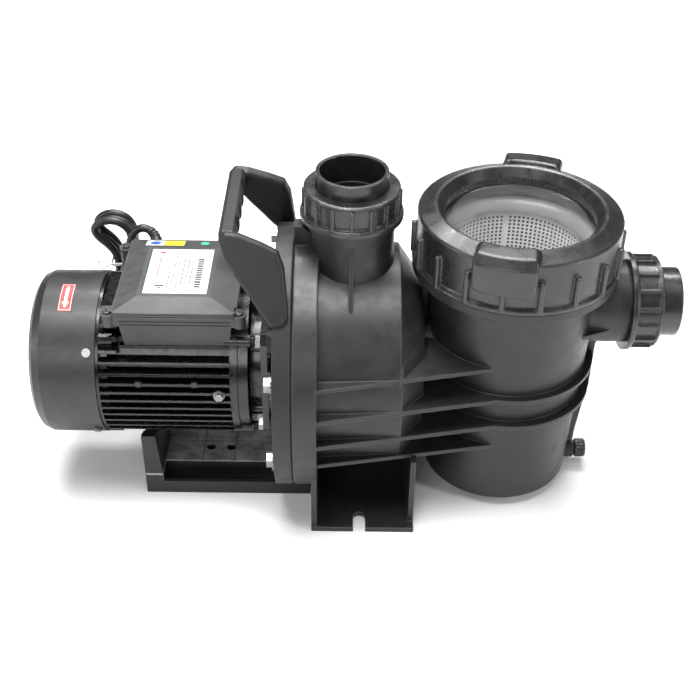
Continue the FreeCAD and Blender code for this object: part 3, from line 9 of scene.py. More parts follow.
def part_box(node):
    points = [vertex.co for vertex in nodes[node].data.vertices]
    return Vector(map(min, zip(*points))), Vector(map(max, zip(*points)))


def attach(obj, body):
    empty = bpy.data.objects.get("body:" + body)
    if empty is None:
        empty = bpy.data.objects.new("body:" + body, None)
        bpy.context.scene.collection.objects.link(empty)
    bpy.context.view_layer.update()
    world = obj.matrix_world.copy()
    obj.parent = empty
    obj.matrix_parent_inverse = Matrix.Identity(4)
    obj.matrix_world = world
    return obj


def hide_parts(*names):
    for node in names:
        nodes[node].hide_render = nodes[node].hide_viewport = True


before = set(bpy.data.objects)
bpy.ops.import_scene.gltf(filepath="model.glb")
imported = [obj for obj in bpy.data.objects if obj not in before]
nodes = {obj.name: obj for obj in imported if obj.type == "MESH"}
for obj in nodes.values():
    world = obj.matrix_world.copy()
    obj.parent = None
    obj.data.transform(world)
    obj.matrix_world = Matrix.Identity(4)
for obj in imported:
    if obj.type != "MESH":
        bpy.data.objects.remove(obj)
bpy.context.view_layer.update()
rng = random.Random(7)


# ---------------------------------------------------------------- helpers

def new_object(name, mesh, material):
    thing = bpy.data.objects.new(name, mesh)
    bpy.context.scene.collection.objects.link(thing)
    mesh.materials.append(material)
    return thing


def mesh_object(name, vertices, faces, material, smooth=False):
    """Object from points and faces."""
    mesh = bpy.data.meshes.new(name)
    mesh.from_pydata([tuple(v) for v in vertices], [], faces)
    mesh.validate()
    mesh.update()
    if smooth:
        mesh.shade_smooth()
    return new_object(name, mesh, material)


def solidify(thing, thickness, offset):
    """Gives a sheet its thickness; offset 0 is both ways, 1 is outward."""
    modifier = thing.modifiers.new("thickness", "SOLIDIFY")
    modifier.thickness = thickness
    modifier.offset = offset


def rounded(thing, width, segments, angle):
    """Rounds the edges that are sharper than an angle in degrees."""
    modifier = thing.modifiers.new("rounding", "BEVEL")
    modifier.width = width
    modifier.segments = segments
    modifier.limit_method = "ANGLE"
    modifier.angle_limit = math.radians(angle)
    modifier.harden_normals = False


def loft(name, rings, material, smooth=True, caps=True):
    """Skin over rings of points; every ring has the same number of points."""
    count = len(rings[0])
    vertices = [p for ring in rings for p in ring]
    faces = []
    for r in range(len(rings) - 1):
        for i in range(count):
            j = (i + 1) % count
            faces.append((r * count + i, r * count + j, (r + 1) * count + j, (r + 1) * count + i))
    if caps:
        faces.append(tuple(range(count))[::-1])
        faces.append(tuple((len(rings) - 1) * count + i for i in range(count)))
    return mesh_object(name, vertices, faces, material, smooth)


def angles(count):
    """Even steps once round a circle."""
    return [2 * math.pi * i / count for i in range(count)]


def circle(centre, axis, radius, count):
    """Ring of points about an axis."""
    axis = Vector(axis).normalized()
    side = axis.cross(Vector((0, 0, 1)))
    if side.length < 0.1:
        side = axis.cross(Vector((0, 1, 0)))
    side.normalize()
    up = side.cross(axis)
    return [Vector(centre) + side * (radius * math.cos(a)) + up * (radius * math.sin(a))
            for a in angles(count)]


def nurbs(name, points, radius, material):
    """One open spline led by the route's control points, and the track along its centre."""
    curve = bpy.data.curves.new(name, "CURVE")
    curve.dimensions = "3D"
    curve.resolution_u = 10
    spline = curve.splines.new("NURBS")
    spline.points.add(len(points) - 1)
    for target, point in zip(spline.points, points):
        target.co = (point[0], point[1], point[2], 1.0)
    spline.order_u = 3
    spline.use_endpoint_u = True
    thing = bpy.data.objects.new(name, curve)
    bpy.context.scene.collection.objects.link(thing)
    line = bpy.data.meshes.new_from_object(thing)
    track = [v.co.copy() for v in line.vertices]
    bpy.data.meshes.remove(line)
    curve.bevel_depth = radius
    curve.bevel_resolution = 6
    curve.use_fill_caps = True
    curve.materials.append(material)
    return thing, track


# ---------------------------------------------------------------- materials

class Nodes:
    """Small builder for a material's node tree."""

    def __init__(self, name):
        self.material = bpy.data.materials.new(name)
        self.material.use_nodes = True
        self.tree = self.material.node_tree
        self.tree.nodes.clear()
        self.output = self.tree.nodes.new("ShaderNodeOutputMaterial")
        self.shader = self.tree.nodes.new("ShaderNodeBsdfPrincipled")
        self.tree.links.new(self.shader.outputs[0], self.output.inputs[0])
        self.coords = self.tree.nodes.new("ShaderNodeTexCoord").outputs["Object"]

    def add(self, kind, **values):
        node = self.tree.nodes.new(kind)
        for key, value in values.items():
            setattr(node, key, value)
        return node

    def link(self, source, target):
        self.tree.links.new(source, target)

    def noise(self, scale, detail, rough=0.55, stretch=None):
        node = self.add("ShaderNodeTexNoise")
        node.inputs["Scale"].default_value = scale
        node.inputs["Detail"].default_value = detail
        node.inputs["Roughness"].default_value = rough
        source = self.coords
        if stretch:
            mapping = self.add("ShaderNodeMapping")
            mapping.inputs["Scale"].default_value = stretch
            self.link(self.coords, mapping.inputs["Vector"])
            source = mapping.outputs[0]
        self.link(source, node.inputs["Vector"])
        return node.outputs["Fac"]

    def spread(self, value, low, high, to_low=0.0, to_high=1.0):
        node = self.add("ShaderNodeMapRange")
        node.inputs["From Min"].default_value = low
        node.inputs["From Max"].default_value = high
        node.inputs["To Min"].default_value = to_low
        node.inputs["To Max"].default_value = to_high
        self.link(value, node.inputs["Value"])
        return node.outputs[0]

    def maths(self, operation, a, b):
        node = self.add("ShaderNodeMath", operation=operation)
        for socket, value in zip(node.inputs, (a, b)):
            if isinstance(value, (int, float)):
                socket.default_value = value
            else:
                self.link(value, socket)
        return node.outputs[0]

    def blend(self, fac, a, b):
        node = self.add("ShaderNodeMix", data_type="RGBA")
        for socket, value in ((node.inputs[0], fac), (node.inputs[6], a), (node.inputs[7], b)):
            if isinstance(value, (int, float)):
                socket.default_value = value
            elif isinstance(value, tuple):
                socket.default_value = (*value, 1.0)
            else:
                self.link(value, socket)
        return node.outputs[2]

    def edge(self, radius):
        """1 near an edge and 0 on flat faces, and the normal that rounds the edge."""
        bevel = self.add("ShaderNodeBevel", samples=4)
        bevel.inputs["Radius"].default_value = radius
        geometry = self.add("ShaderNodeNewGeometry")
        dot = self.add("ShaderNodeVectorMath", operation="DOT_PRODUCT")
        self.link(bevel.outputs[0], dot.inputs[0])
        self.link(geometry.outputs["Normal"], dot.inputs[1])
        return self.spread(dot.outputs["Value"], 0.995, 0.80), bevel.outputs[0]

    def bump(self, height, strength, distance, normal=None):
        node = self.add("ShaderNodeBump")
        node.inputs["Strength"].default_value = strength
        node.inputs["Distance"].default_value = distance
        self.link(height, node.inputs["Height"])
        if normal is not None:
            self.link(normal, node.inputs["Normal"])
        return node.outputs[0]

    def set(self, **values):
        names = {"colour": "Base Color", "rough": "Roughness", "metal": "Metallic", "normal": "Normal",
                 "coat": "Coat Weight", "coat_rough": "Coat Roughness", "specular": "Specular IOR Level",
                 "alpha": "Alpha", "transmission": "Transmission Weight", "ior": "IOR",
                 "subsurface": "Subsurface Weight"}
        for key, value in values.items():
            socket = self.shader.inputs[names[key]]
            if isinstance(value, tuple):
                socket.default_value = (*value, 1.0)
            elif isinstance(value, (int, float)):
                socket.default_value = value
            else:
                self.link(value, socket)
        return self.material


def scaled(colour, factor):
    """Lighter or darker copy of a colour."""
    return tuple(min(1.0, c * factor) for c in colour)


def moulding(name, colour, rough, grain=0.25, grain_scale=1400.0, edge_highlight=0.5, dust=0.12,
             edge_radius=0.0011, specular=0.5, dusty_lit_top_level=None):
    """Moulded plastic: mottled colour, fine grain, dusty flecks, edges painted paler as a painted
    highlight, and optionally a top face painted far lighter, partly dust and partly painted light.
    """
    n = Nodes(name)
    broad = n.spread(n.noise(14.0, 4.0), 0.35, 0.68)
    cloud = n.spread(n.noise(75.0, 5.0, 0.6), 0.38, 0.66)
    fine = n.noise(grain_scale, 2.0, 0.6)
    base = n.blend(broad, scaled(colour, 0.8), scaled(colour, 1.25))
    base = n.blend(n.maths("MULTIPLY", cloud, 0.3), base, scaled(colour, 1.6))
    flecks = n.spread(n.noise(420.0, 2.0, 0.75), 0.66, 0.74)
    patches = n.spread(n.noise(9.0, 2.0), 0.45, 0.62)
    base = n.blend(n.maths("MULTIPLY", n.maths("MULTIPLY", flecks, patches), dust), base,
                   scaled(colour, 7.0))
    # painted light with some dust: the top face at one height is painted far paler, partly for dust and
    # partly for the light it would catch, mottled by noise
    if dusty_lit_top_level is not None:
        split = n.add("ShaderNodeSeparateXYZ")
        n.link(n.coords, split.inputs[0])
        above = n.maths("GREATER_THAN", split.outputs[2], dusty_lit_top_level)
        below = n.maths("LESS_THAN", split.outputs[2], dusty_lit_top_level + 0.002)
        dust_and_light_mottle = n.spread(n.noise(60.0, 5.0, 0.65), 0.35, 0.6, 0.35, 1.0)
        on_top = n.maths("MULTIPLY", n.maths("MULTIPLY", above, below), dust_and_light_mottle)
        base = n.blend(on_top, base, scaled(colour, 34.0))
    edges, soft = n.edge(edge_radius)
    # painted highlight: edges are painted paler, standing in for the glints that light makes on rounded
    # edges
    base = n.blend(n.maths("MULTIPLY", edges, edge_highlight), base, scaled(colour, 9.0))
    roughness = n.spread(cloud, 0.0, 1.0, rough - 0.05, rough + 0.09)
    return n.set(colour=base, rough=roughness, specular=specular,
                 normal=n.bump(fine, grain, 0.00012, soft))


def enamel(name, colour, rough, coat, peel, edge_highlight=0.25):
    """Glossy paint on metal: slight orange peel, smudges in the gloss, edges painted paler as a painted
    highlight.
    """
    n = Nodes(name)
    broad = n.spread(n.noise(22.0, 4.0), 0.35, 0.65)
    smudge = n.spread(n.noise(130.0, 5.0, 0.65), 0.35, 0.7)
    base = n.blend(broad, scaled(colour, 0.75), scaled(colour, 1.3))
    edges, soft = n.edge(0.0007)
    # painted highlight: edges are painted paler, standing in for bright highlight lines along the edges
    base = n.blend(n.maths("MULTIPLY", edges, edge_highlight), base, scaled(colour, 12.0))
    roughness = n.spread(smudge, 0.0, 1.0, rough - 0.05, rough + 0.12)
    return n.set(colour=base, rough=roughness, coat=coat, coat_rough=0.12,
                 normal=n.bump(n.noise(700.0, 2.0), peel, 0.0001, soft))


def bare_metal(name, colour, rough, stretch=(1.0, 1.0, 1.0), scratches=0.15):
    """Plated or machined metal: directional scratches and slight tarnish."""
    n = Nodes(name)
    tarnish = n.spread(n.noise(120.0, 4.0), 0.35, 0.7)
    lines = n.noise(900.0, 3.0, 0.6, stretch)
    base = n.blend(tarnish, scaled(colour, 0.72), scaled(colour, 1.12))
    edges, soft = n.edge(0.0004)
    base = n.blend(n.maths("MULTIPLY", edges, 0.4), base, scaled(colour, 1.35))
    return n.set(colour=base, metal=1.0, rough=n.spread(lines, 0.3, 0.7, rough - 0.08, rough + 0.12),
                 normal=n.bump(lines, scratches, 0.00006, soft))


def rubber(name, colour, rough=0.6):
    """Rubber with a pale bloom in patches."""
    n = Nodes(name)
    bloom = n.spread(n.noise(60.0, 4.0), 0.4, 0.7)
    base = n.blend(n.maths("MULTIPLY", bloom, 0.6), colour, scaled(colour, 2.4))
    return n.set(colour=base, rough=n.spread(bloom, 0.0, 1.0, rough - 0.08, rough + 0.1),
                 normal=n.bump(n.noise(1500.0, 2.0), 0.15, 0.0001))


def film(name, colour, rough=0.35):
    """Printed film: faint creases and a slightly uneven print."""
    n = Nodes(name)
    tone = n.spread(n.noise(180.0, 3.0), 0.35, 0.7)
    base = n.blend(n.maths("MULTIPLY", tone, 0.35), colour, scaled(colour, 0.86))
    return n.set(colour=base, rough=n.spread(tone, 0.0, 1.0, rough - 0.06, rough + 0.08),
                 normal=n.bump(n.noise(90.0, 3.0), 0.06, 0.0002))


def lens_clear():
    """Clear moulded window: sheen at grazing angles, faint haze and scuffs."""
    n = Nodes("clear_polycarbonate")
    weight = n.add("ShaderNodeLayerWeight")
    weight.inputs["Blend"].default_value = 0.25
    haze = n.spread(n.noise(45.0, 4.0), 0.45, 0.75)
    scuffs = n.spread(n.noise(600.0, 2.0, 0.7, (1.0, 0.15, 1.0)), 0.64, 0.72)
    alpha = n.maths("ADD", n.spread(weight.outputs["Fresnel"], 0.0, 1.0, 0.01, 0.22),
                    n.maths("MULTIPLY", haze, 0.012))
    alpha = n.maths("ADD", alpha, n.maths("MULTIPLY", scuffs, 0.05))
    return n.set(colour=n.blend(haze, (0.12, 0.12, 0.12), (0.22, 0.22, 0.22)), alpha=alpha, rough=0.05,
                 specular=0.9, coat=0.5, coat_rough=0.03, normal=n.bump(n.noise(30.0, 2.0), 0.04, 0.0005))


def basket_white():
    """Milky plastic, painted darker grey towards its rim as painted shade."""
    n = Nodes("basket_translucent")
    milky = n.spread(n.noise(50.0, 4.0), 0.35, 0.7)
    base = n.blend(milky, (0.86, 0.86, 0.85), (0.93, 0.93, 0.92))
    split = n.add("ShaderNodeSeparateXYZ")
    n.link(n.coords, split.inputs[0])
    # painted shade: above a height the wall and rim turn grey, standing in for the shade under the lid ring
    painted_shade_band = n.spread(n.maths("ADD", split.outputs[2], n.maths("MULTIPLY", milky, 0.004)), 0.240, 0.256)
    base = n.blend(painted_shade_band, base, (0.26, 0.26, 0.26))
    return n.set(colour=base, rough=n.spread(milky, 0.0, 1.0, 0.28, 0.45),
                 normal=n.bump(n.noise(900.0, 2.0), 0.1, 0.0001))


BLACK = moulding("moulded_black", (0.0132, 0.0135, 0.0140), rough=0.42, specular=0.5, edge_radius=0.0016,
                 edge_highlight=0.6)
RING_BLACK = moulding("moulded_ring_black", (0.0115, 0.0117, 0.0121), rough=0.29, dust=0.2, specular=0.7,
                      edge_radius=0.0024, edge_highlight=0.6)
GRIP_BLACK = moulding("moulded_grip_black", (0.0125, 0.0128, 0.0132), rough=0.48, grain=0.4, specular=0.42)
BOX = moulding("textured_box_plastic", (0.0480, 0.0486, 0.0496), rough=0.46, grain=0.9, grain_scale=1000.0,
               edge_highlight=0.25, dust=0.15, specular=0.42)
BASE = moulding("base_plastic", (0.0105, 0.0107, 0.0111), rough=0.50, dust=0.3, dusty_lit_top_level=0.0225)
WET = moulding("glass_filled_plastic", (0.07, 0.075, 0.08), rough=0.5, grain=0.5)
COVER = enamel("cover_paint", (0.0190, 0.0195, 0.0202), rough=0.40, coat=0.05, edge_highlight=0.3, peel=0.2)
ENAMEL = enamel("black_enamel", (0.0016, 0.0016, 0.0018), rough=0.22, coat=0.10, edge_highlight=0.9, peel=0.04)
CASTING = enamel("cast_iron_paint", (0.0080, 0.0080, 0.0085), rough=0.28, coat=0.25, peel=0.3)
DARK_ZINC = bare_metal("dark_plate", (0.030, 0.030, 0.032), rough=0.34)
ZINC = bare_metal("zinc_plate", (0.25, 0.25, 0.245), rough=0.24)
STEEL = bare_metal("ground_steel", (0.58, 0.58, 0.59), rough=0.2, stretch=(12.0, 1.0, 1.0))
LAMINATION = bare_metal("laminated_steel", (0.33, 0.33, 0.35), rough=0.42, stretch=(9.0, 0.4, 0.4),
                        scratches=0.6)
COPPER = bare_metal("varnished_copper", (0.58, 0.27, 0.13), rough=0.28, stretch=(0.6, 5.0, 5.0),
                    scratches=0.7)
BRASS = bare_metal("turned_brass", (0.72, 0.54, 0.27), rough=0.24)
CERAMIC = film("white_ceramic", (0.82, 0.81, 0.78), rough=0.2)
CARBON = moulding("carbon_graphite", (0.03, 0.03, 0.031), rough=0.35, edge_highlight=0.1, dust=0.0)
RUBBER = rubber("moulded_rubber", (0.014, 0.014, 0.015))
SHEATH = rubber("cord_sheath", (0.012, 0.012, 0.013), rough=0.42)
CAN = film("capacitor_film", (0.72, 0.72, 0.70))
WHITE = film("label_white", (0.80, 0.80, 0.80))
RED = film("label_red", (0.60, 0.035, 0.035))
YELLOW = film("sticker_yellow", (0.78, 0.66, 0.03))
BLUE = film("sticker_blue", (0.03, 0.09, 0.42))
GREEN = film("sticker_green", (0.07, 0.45, 0.26))
INK = film("label_ink", (0.05, 0.05, 0.055), rough=0.5)
PALE_INK = film("label_pale_ink", (0.16, 0.16, 0.18), rough=0.5)
TIE = film("tie_paper", (0.74, 0.74, 0.72), rough=0.55)
LENS = lens_clear()
BASKET = basket_white()

finish_of = {
    "pump_body": BLACK, "seal_plate": GRIP_BLACK, "discharge_nut": RING_BLACK, "discharge_tail": RING_BLACK,
    "suction_nut": RING_BLACK, "suction_tail": RING_BLACK, "lid_ring": RING_BLACK,
    "drain_plug": RING_BLACK, "cooling_fan": BLACK, "motor_housing": ENAMEL, "front_end_shield": ENAMEL,
    "rear_end_shield": ENAMEL, "fan_cover": COVER, "terminal_box": BOX, "terminal_lid": BOX,
    "cable_gland": GRIP_BLACK, "terminal_block": GRIP_BLACK, "motor_base": BASE, "flange_bolts": ZINC,
    "adapter_bolts": ZINC, "fan_cover_screws": ZINC, "tie_bolts": DARK_ZINC, "terminal_lid_screws": ZINC,
    "earth_screw": ZINC,
    "motor_adapter": CASTING, "motor_shaft": STEEL, "seal_spring": STEEL, "impeller_screw": STEEL,
    "front_bearing_inner": STEEL, "front_bearing_outer": STEEL, "rear_bearing_inner": STEEL,
    "rear_bearing_outer": STEEL, "bearing_balls": STEEL, "stator_core": LAMINATION,
    "rotor_core": LAMINATION, "stator_windings": COPPER, "flange_inserts": BRASS, "wear_ring": BRASS,
    "plug_pins": BRASS, "impeller": WET, "diffuser": WET, "seal_seat": CERAMIC, "seal_head": CARBON,
    "body_o_ring": RUBBER, "lid_o_ring": RUBBER, "discharge_o_ring": RUBBER, "suction_o_ring": RUBBER,
    "drain_o_ring": RUBBER, "slinger": RUBBER, "terminal_gasket": RUBBER, "cradle_pad": RUBBER,
    "power_cord": SHEATH, "cord_hank": SHEATH, "plug": SHEATH, "cord_tie": TIE, "strainer_basket": BASKET,
    "lid_lens": LENS, "capacitor": CAN, "rating_label": WHITE, "arrow_label": RED,
}
for node_name, thing in nodes.items():
    thing.data.materials.clear()
    thing.data.materials.append(finish_of[node_name])


# ---------------------------------------------------------------- camera and light

SENSOR, FOCAL_LENGTH = 36.0, 59.16651
PITCH, YAW, ROLL = math.radians(36.773), math.radians(0.388), math.radians(0.958)
CAMERA_PLACE = (-0.0055, -0.8747, 0.7876)
forward = Vector((math.sin(YAW) * math.cos(PITCH), math.cos(YAW) * math.cos(PITCH), -math.sin(PITCH)))
right = Vector((math.cos(YAW), -math.sin(YAW), 0.0))
upward = right.cross(forward)
camera_right = right * math.cos(ROLL) + upward * math.sin(ROLL)
camera_up = upward * math.cos(ROLL) - right * math.sin(ROLL)
camera_data = bpy.data.cameras.new("camera")
camera_data.sensor_width = SENSOR
camera_data.lens = FOCAL_LENGTH
camera_data.clip_end = 50.0
camera = bpy.data.objects.new("camera", camera_data)
bpy.context.scene.collection.objects.link(camera)
turn = Matrix((camera_right, camera_up, -forward)).transposed()
camera.matrix_world = Matrix.Translation(CAMERA_PLACE) @ turn.to_4x4()
bpy.context.scene.camera = camera

world = bpy.data.worlds.new("studio")
bpy.context.scene.world = world
world.use_nodes = True
world.node_tree.nodes["Background"].inputs[0].default_value = (1.0, 1.0, 1.0, 1.0)
world.node_tree.nodes["Background"].inputs[1].default_value = 0.12
bpy.context.scene.view_settings.view_transform = "Standard"


def softbox(name, place, aim, width, height, watts):
    """Rectangular studio light that faces a point."""
    light = bpy.data.lights.new(name, "AREA")
    light.shape = "RECTANGLE"
    light.size = width
    light.size_y = height
    light.energy = watts
    thing = bpy.data.objects.new(name, light)
    bpy.context.scene.collection.objects.link(thing)
    thing.location = place
    thing.rotation_euler = (Vector(aim) - Vector(place)).to_track_quat("-Z", "Y").to_euler()


softbox("top_box", (-0.15, -0.15, 1.9), (0.0, 0.0, 0.1), 1.0, 0.8, 44.0)
softbox("front_box", (-0.5, -1.9, 1.2), (0.0, 0.0, 0.15), 1.1, 0.9, 14.0)
softbox("left_strip", (-1.5, -0.5, 0.7), (-0.1, 0.0, 0.15), 0.25, 1.1, 8.0)
softbox("right_strip", (1.6, -0.8, 0.8), (0.1, 0.0, 0.2), 0.25, 1.1, 12.0)
softbox("back_strip", (0.1, 1.2, 2.0), (0.1, 0.0, 0.25), 1.6, 0.3, 52.0)
softbox("floor_fill", (0.0, 0.4, 3.0), (0.0, 0.0, 0.0), 4.0, 4.0, 26.0)

floor_nodes = Nodes("studio_floor")
floor_tone = floor_nodes.spread(floor_nodes.noise(1.5, 3.0), 0.3, 0.7)
floor_nodes.set(colour=floor_nodes.blend(floor_tone, (0.86, 0.86, 0.86), (0.90, 0.90, 0.90)), rough=0.9,
                specular=0.1)
FLOOR_HALF, FLOOR_Z = 6, -0.0003
floor_corners = [(x * FLOOR_HALF, y * FLOOR_HALF, FLOOR_Z) for x, y in ((-1, -1), (1, -1), (1, 1), (-1, 1))]
floor = mesh_object("floor", floor_corners, [(0, 1, 2, 3)], floor_nodes.material)


# ---------------------------------------------------------------- mains cord

CORD = 0.008
gland_exit = Vector((-0.188, 0.0755, 0.197))
lead = [gland_exit, (-0.188, 0.0855, 0.198), (-0.193, 0.094, 0.2045), (-0.202, 0.0955, 0.209),
        (-0.210, 0.095, 0.206), (-0.2155, 0.0935, 0.197), (-0.219, 0.0925, 0.184), (-0.223, 0.092, 0.168),
        (-0.229, 0.094, 0.148), (-0.235, 0.099, 0.128), (-0.239, 0.1035, 0.108)]

hank_top = Vector((-0.236, 0.0, 0.212))
hank_bottom = Vector((-0.2185, 0.0, 0.001))
hank_up = (hank_top - hank_bottom).normalized()
hank_side = Vector((hank_up.z, 0.0, -hank_up.x))
BEND = 0.0195                       # radius of the low fold, on the cord's centreline
CORNER = BEND / math.cos(math.pi / 8)
low_centre = hank_bottom + hank_up * (BEND + CORD / 2)
high_centre = hank_top - hank_up * (0.020 + CORD / 2) - hank_side * 0.003
tie_centre = hank_bottom + hank_up * 0.163 + hank_side * 0.006
NEAR = CORNER * 2 * math.sin(math.pi / 8)
FIRST_DEPTH = 0.1039                # Y of the first turn
PITCH_OF_TURN = 0.0083              # Y from one turn to the next
TIE_HALF = 0.0088                   # half the width of a turn at the tie
TIE_LOW, TIE_HIGH = -0.012, 0.010   # control points below and above the tie
LOW_ARC = [math.radians(a) for a in (202.5, 247.5, 292.5, 337.5)]
HIGH_ARC = [math.radians(a) for a in (22.5, 67.5, 112.5, 157.5)]


def on_arc(centre, radius, a):
    """Point round a centre in the plane of the hank."""
    return centre + hank_side * radius * math.cos(a) + hank_up * radius * math.sin(a)


def hank_turn(turn_index, spread_top, rise_top, rise_low):
    """Control points of one turn, from the left run down, round and back to the left run."""
    half = spread_top / math.cos(math.pi / 8)
    steps = [on_arc(low_centre + hank_up * rise_low, CORNER, a) for a in LOW_ARC]
    steps.append(low_centre + hank_up * (NEAR + rise_low) + hank_side * BEND)
    steps += [tie_centre + hank_up * level + hank_side * TIE_HALF for level in (TIE_LOW, TIE_HIGH)]
    steps += [on_arc(high_centre - hank_up * rise_top, half, a) for a in HIGH_ARC]
    steps += [tie_centre + hank_up * level - hank_side * TIE_HALF for level in (TIE_HIGH, TIE_LOW)]
    steps.append(low_centre + hank_up * (NEAR + rise_low) - hank_side * BEND)
    count = len(steps)
    return [Vector((p.x, FIRST_DEPTH + PITCH_OF_TURN * (turn_index + (i + 0.5) / count), p.z))
            for i, p in enumerate(steps)]


route = list(lead)
route.append(Vector((-0.2405, FIRST_DEPTH - 0.0002, 0.070)))
route.append(low_centre + hank_up * NEAR - hank_side * BEND + Vector((0, FIRST_DEPTH, 0)))
TURNS = ((0.0200, 0.0, 0.0), (0.0208, 0.004, 0.002), (0.0198, 0.001, 0.004))
for turn_index, (spread, drop, rise) in enumerate(TURNS):
    route += hank_turn(turn_index, spread, drop, rise)
back = 0.1288
route += [(-0.2410, back, 0.0155), (-0.229, back + 0.0015, 0.0046), (-0.208, back + 0.004, 0.0044),
          (-0.186, back + 0.011, 0.0044), (-0.166, back + 0.0195, 0.006), (-0.154, 0.1514, 0.0095),
          (-0.142, 0.1514, 0.0095)]
cord, track = nurbs("mains_cord", route, CORD / 2, SHEATH)
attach(cord, "root")
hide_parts("power_cord", "cord_hank")


def along(track, start, end, steps):
    """Points and directions at even steps between two distances along a track."""
    found = []
    wanted = [start + (end - start) * i / (steps - 1) for i in range(steps)]
    walked = 0.0
    index = 0
    for distance in wanted:
        while index < len(track) - 2 and walked + (track[index + 1] - track[index]).length < distance:
            walked += (track[index + 1] - track[index]).length
            index += 1
        step = track[index + 1] - track[index]
        found.append((track[index] + step.normalized() * (distance - walked), step.normalized()))
    return found


SLEEVE_RINGS = 34
sleeve = []
for i, (centre, direction) in enumerate(along(track, -0.001, 0.024, SLEEVE_RINGS)):
    part = i / (SLEEVE_RINGS - 1)
    radius = 0.0068 - 0.0022 * part
    in_grooves = 0.12 < part < 0.95
    if in_grooves and i % 4 in (0, 1):
        radius -= 0.0007
    sleeve.append(circle(centre, direction, radius, 28))
relief = loft("strain_relief", sleeve, SHEATH)
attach(relief, "root")

PLUG_Y, PLUG_Z = 0.1514, 0.0095
grip_rings = []
profile = [(-0.1460, 0.0052, 0.0052), (-0.1455, 0.0056, 0.0056)]
for i in range(7):
    x = -0.1440 + i * 0.0032
    wide = 0.0058 + 0.00032 * i
    narrow = wide - 0.0008
    profile += [(x, wide, wide), (x + 0.0011, wide, wide), (x + 0.0013, narrow, narrow),
                (x + 0.0026, narrow, narrow)]
profile += [(-0.1215, 0.0083, 0.0080), (-0.1190, 0.0094, 0.0086), (-0.1120, 0.0095, 0.0090),
            (-0.1050, 0.0088, 0.0084), (-0.0990, 0.0089, 0.0085), (-0.0960, 0.0095, 0.0092),
            (-0.0930, 0.0095, 0.0092), (-0.0922, 0.0090, 0.0088)]
for x, wide, tall in profile:
    grip_rings.append([Vector((x, PLUG_Y + wide * math.cos(a), PLUG_Z + tall * math.sin(a)))
                       for a in angles(40)])
plug = loft("moulded_plug", grip_rings, SHEATH)
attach(plug, "root")
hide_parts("plug")

# paper tie about the waist of the hank, with its twisted ends
tie_half_side = TIE_HALF + CORD / 2 + 0.0006
tie_front, tie_rear = 0.0988, 0.1340
tie_corner = 0.003
loop = []
for cx, cy, start in ((tie_half_side, tie_rear, 0), (-tie_half_side, tie_rear, 90),
                      (-tie_half_side, tie_front, 180), (tie_half_side, tie_front, 270)):
    inner_x = cx - math.copysign(tie_corner, cx)
    inner_y = cy - math.copysign(tie_corner, cy - (tie_front + tie_rear) / 2)
    for k in range(5):
        a = math.radians(start + k * 22.5)
        loop.append((inner_x + tie_corner * math.cos(a), inner_y + tie_corner * math.sin(a)))
band_rings = []
for level in (-0.0016, -0.0008, 0.0008, 0.0016):
    band_rings.append([tie_centre + hank_side * x + hank_up * level + Vector((0, y, 0)) for x, y in loop])
band = loft("tie_band", band_rings, TIE, smooth=True, caps=False)
solidify(band, 0.0005, 1.0)
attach(band, "root")
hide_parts("cord_tie")

tie_ends = bpy.data.curves.new("tie_ends", "CURVE")
tie_ends.dimensions = "3D"
tie_ends.bevel_depth = 0.0006
tie_ends.bevel_resolution = 2
STRAND_POINTS = 40
UNTWISTED = 0.55                    # share of a strand after which it spreads
for phase in (0.0, math.pi):
    strand = tie_ends.splines.new("POLY")
    strand_points = []
    for k in range(STRAND_POINTS):
        part = k / (STRAND_POINTS - 1)
        reach = max(0.0, part - UNTWISTED) * 0.012 * math.copysign(1, math.cos(phase))
        twist = phase + part * 4.5 * math.pi
        width = 0.0009 if part < UNTWISTED else 0.0009 + abs(reach) * 0.2
        middle = tie_centre + Vector((-0.012 - 0.014 * part, tie_front - 0.001 - 0.002 * part,
                                      0.001 - 0.006 * part + 0.5 * reach))
        strand_points.append(middle + Vector((0, width * math.cos(twist), width * math.sin(twist) + reach)))
    strand.points.add(len(strand_points) - 1)
    for target, point in zip(strand.points, strand_points):
        target.co = (*point, 1.0)
ends = bpy.data.objects.new("tie_ends", tie_ends)
bpy.context.scene.collection.objects.link(ends)
tie_ends.materials.append(TIE)
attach(ends, "root")


# ---------------------------------------------------------------- strainer basket

POT_X = 0.1469
COLUMNS = 96


def lattice(name, profile, thickness, upright, hoop, solid, gone):
    """Sheet turned about the pot's axis with a square hole in every cell.

    upright and hoop are the shares of a cell that its bars take across and up. solid and gone say
    which cells have no hole and which are left out.
    """
    work = bmesh.new()
    rows = []
    for radius, height in profile:
        rows.append([work.verts.new((POT_X + radius * math.cos(a), radius * math.sin(a), height))
                     for a in angles(COLUMNS)])
    for r in range(len(rows) - 1):
        for i in range(COLUMNS):
            j = (i + 1) % COLUMNS
            corners = (rows[r][i], rows[r][j], rows[r + 1][j], rows[r + 1][i])
            if gone(r, i):
                continue
            if solid(r, i):
                work.faces.new(corners)
                continue
            hole = []
            for across, up in ((upright, hoop), (1 - upright, hoop), (1 - upright, 1 - hoop),
                               (upright, 1 - hoop)):
                low = corners[0].co.lerp(corners[1].co, across)
                high = corners[3].co.lerp(corners[2].co, across)
                hole.append(work.verts.new(low.lerp(high, up)))
            for k in range(4):
                after = (k + 1) % 4
                work.faces.new((corners[k], corners[after], hole[after], hole[k]))
    mesh = bpy.data.meshes.new(name)
    work.to_mesh(mesh)
    work.free()
    thing = new_object(name, mesh, BASKET)
    solidify(thing, thickness, 0.0)
    return thing


WALL_ROWS = 39
wall_profile = [(0.0565 + 0.0063 * i / WALL_ROWS, 0.1005 + 0.1505 * i / WALL_ROWS)
                for i in range(WALL_ROWS + 1)]
INLET_Z, INLET_RADIUS, INLET_LIP = 0.1948, 0.026, 0.0035


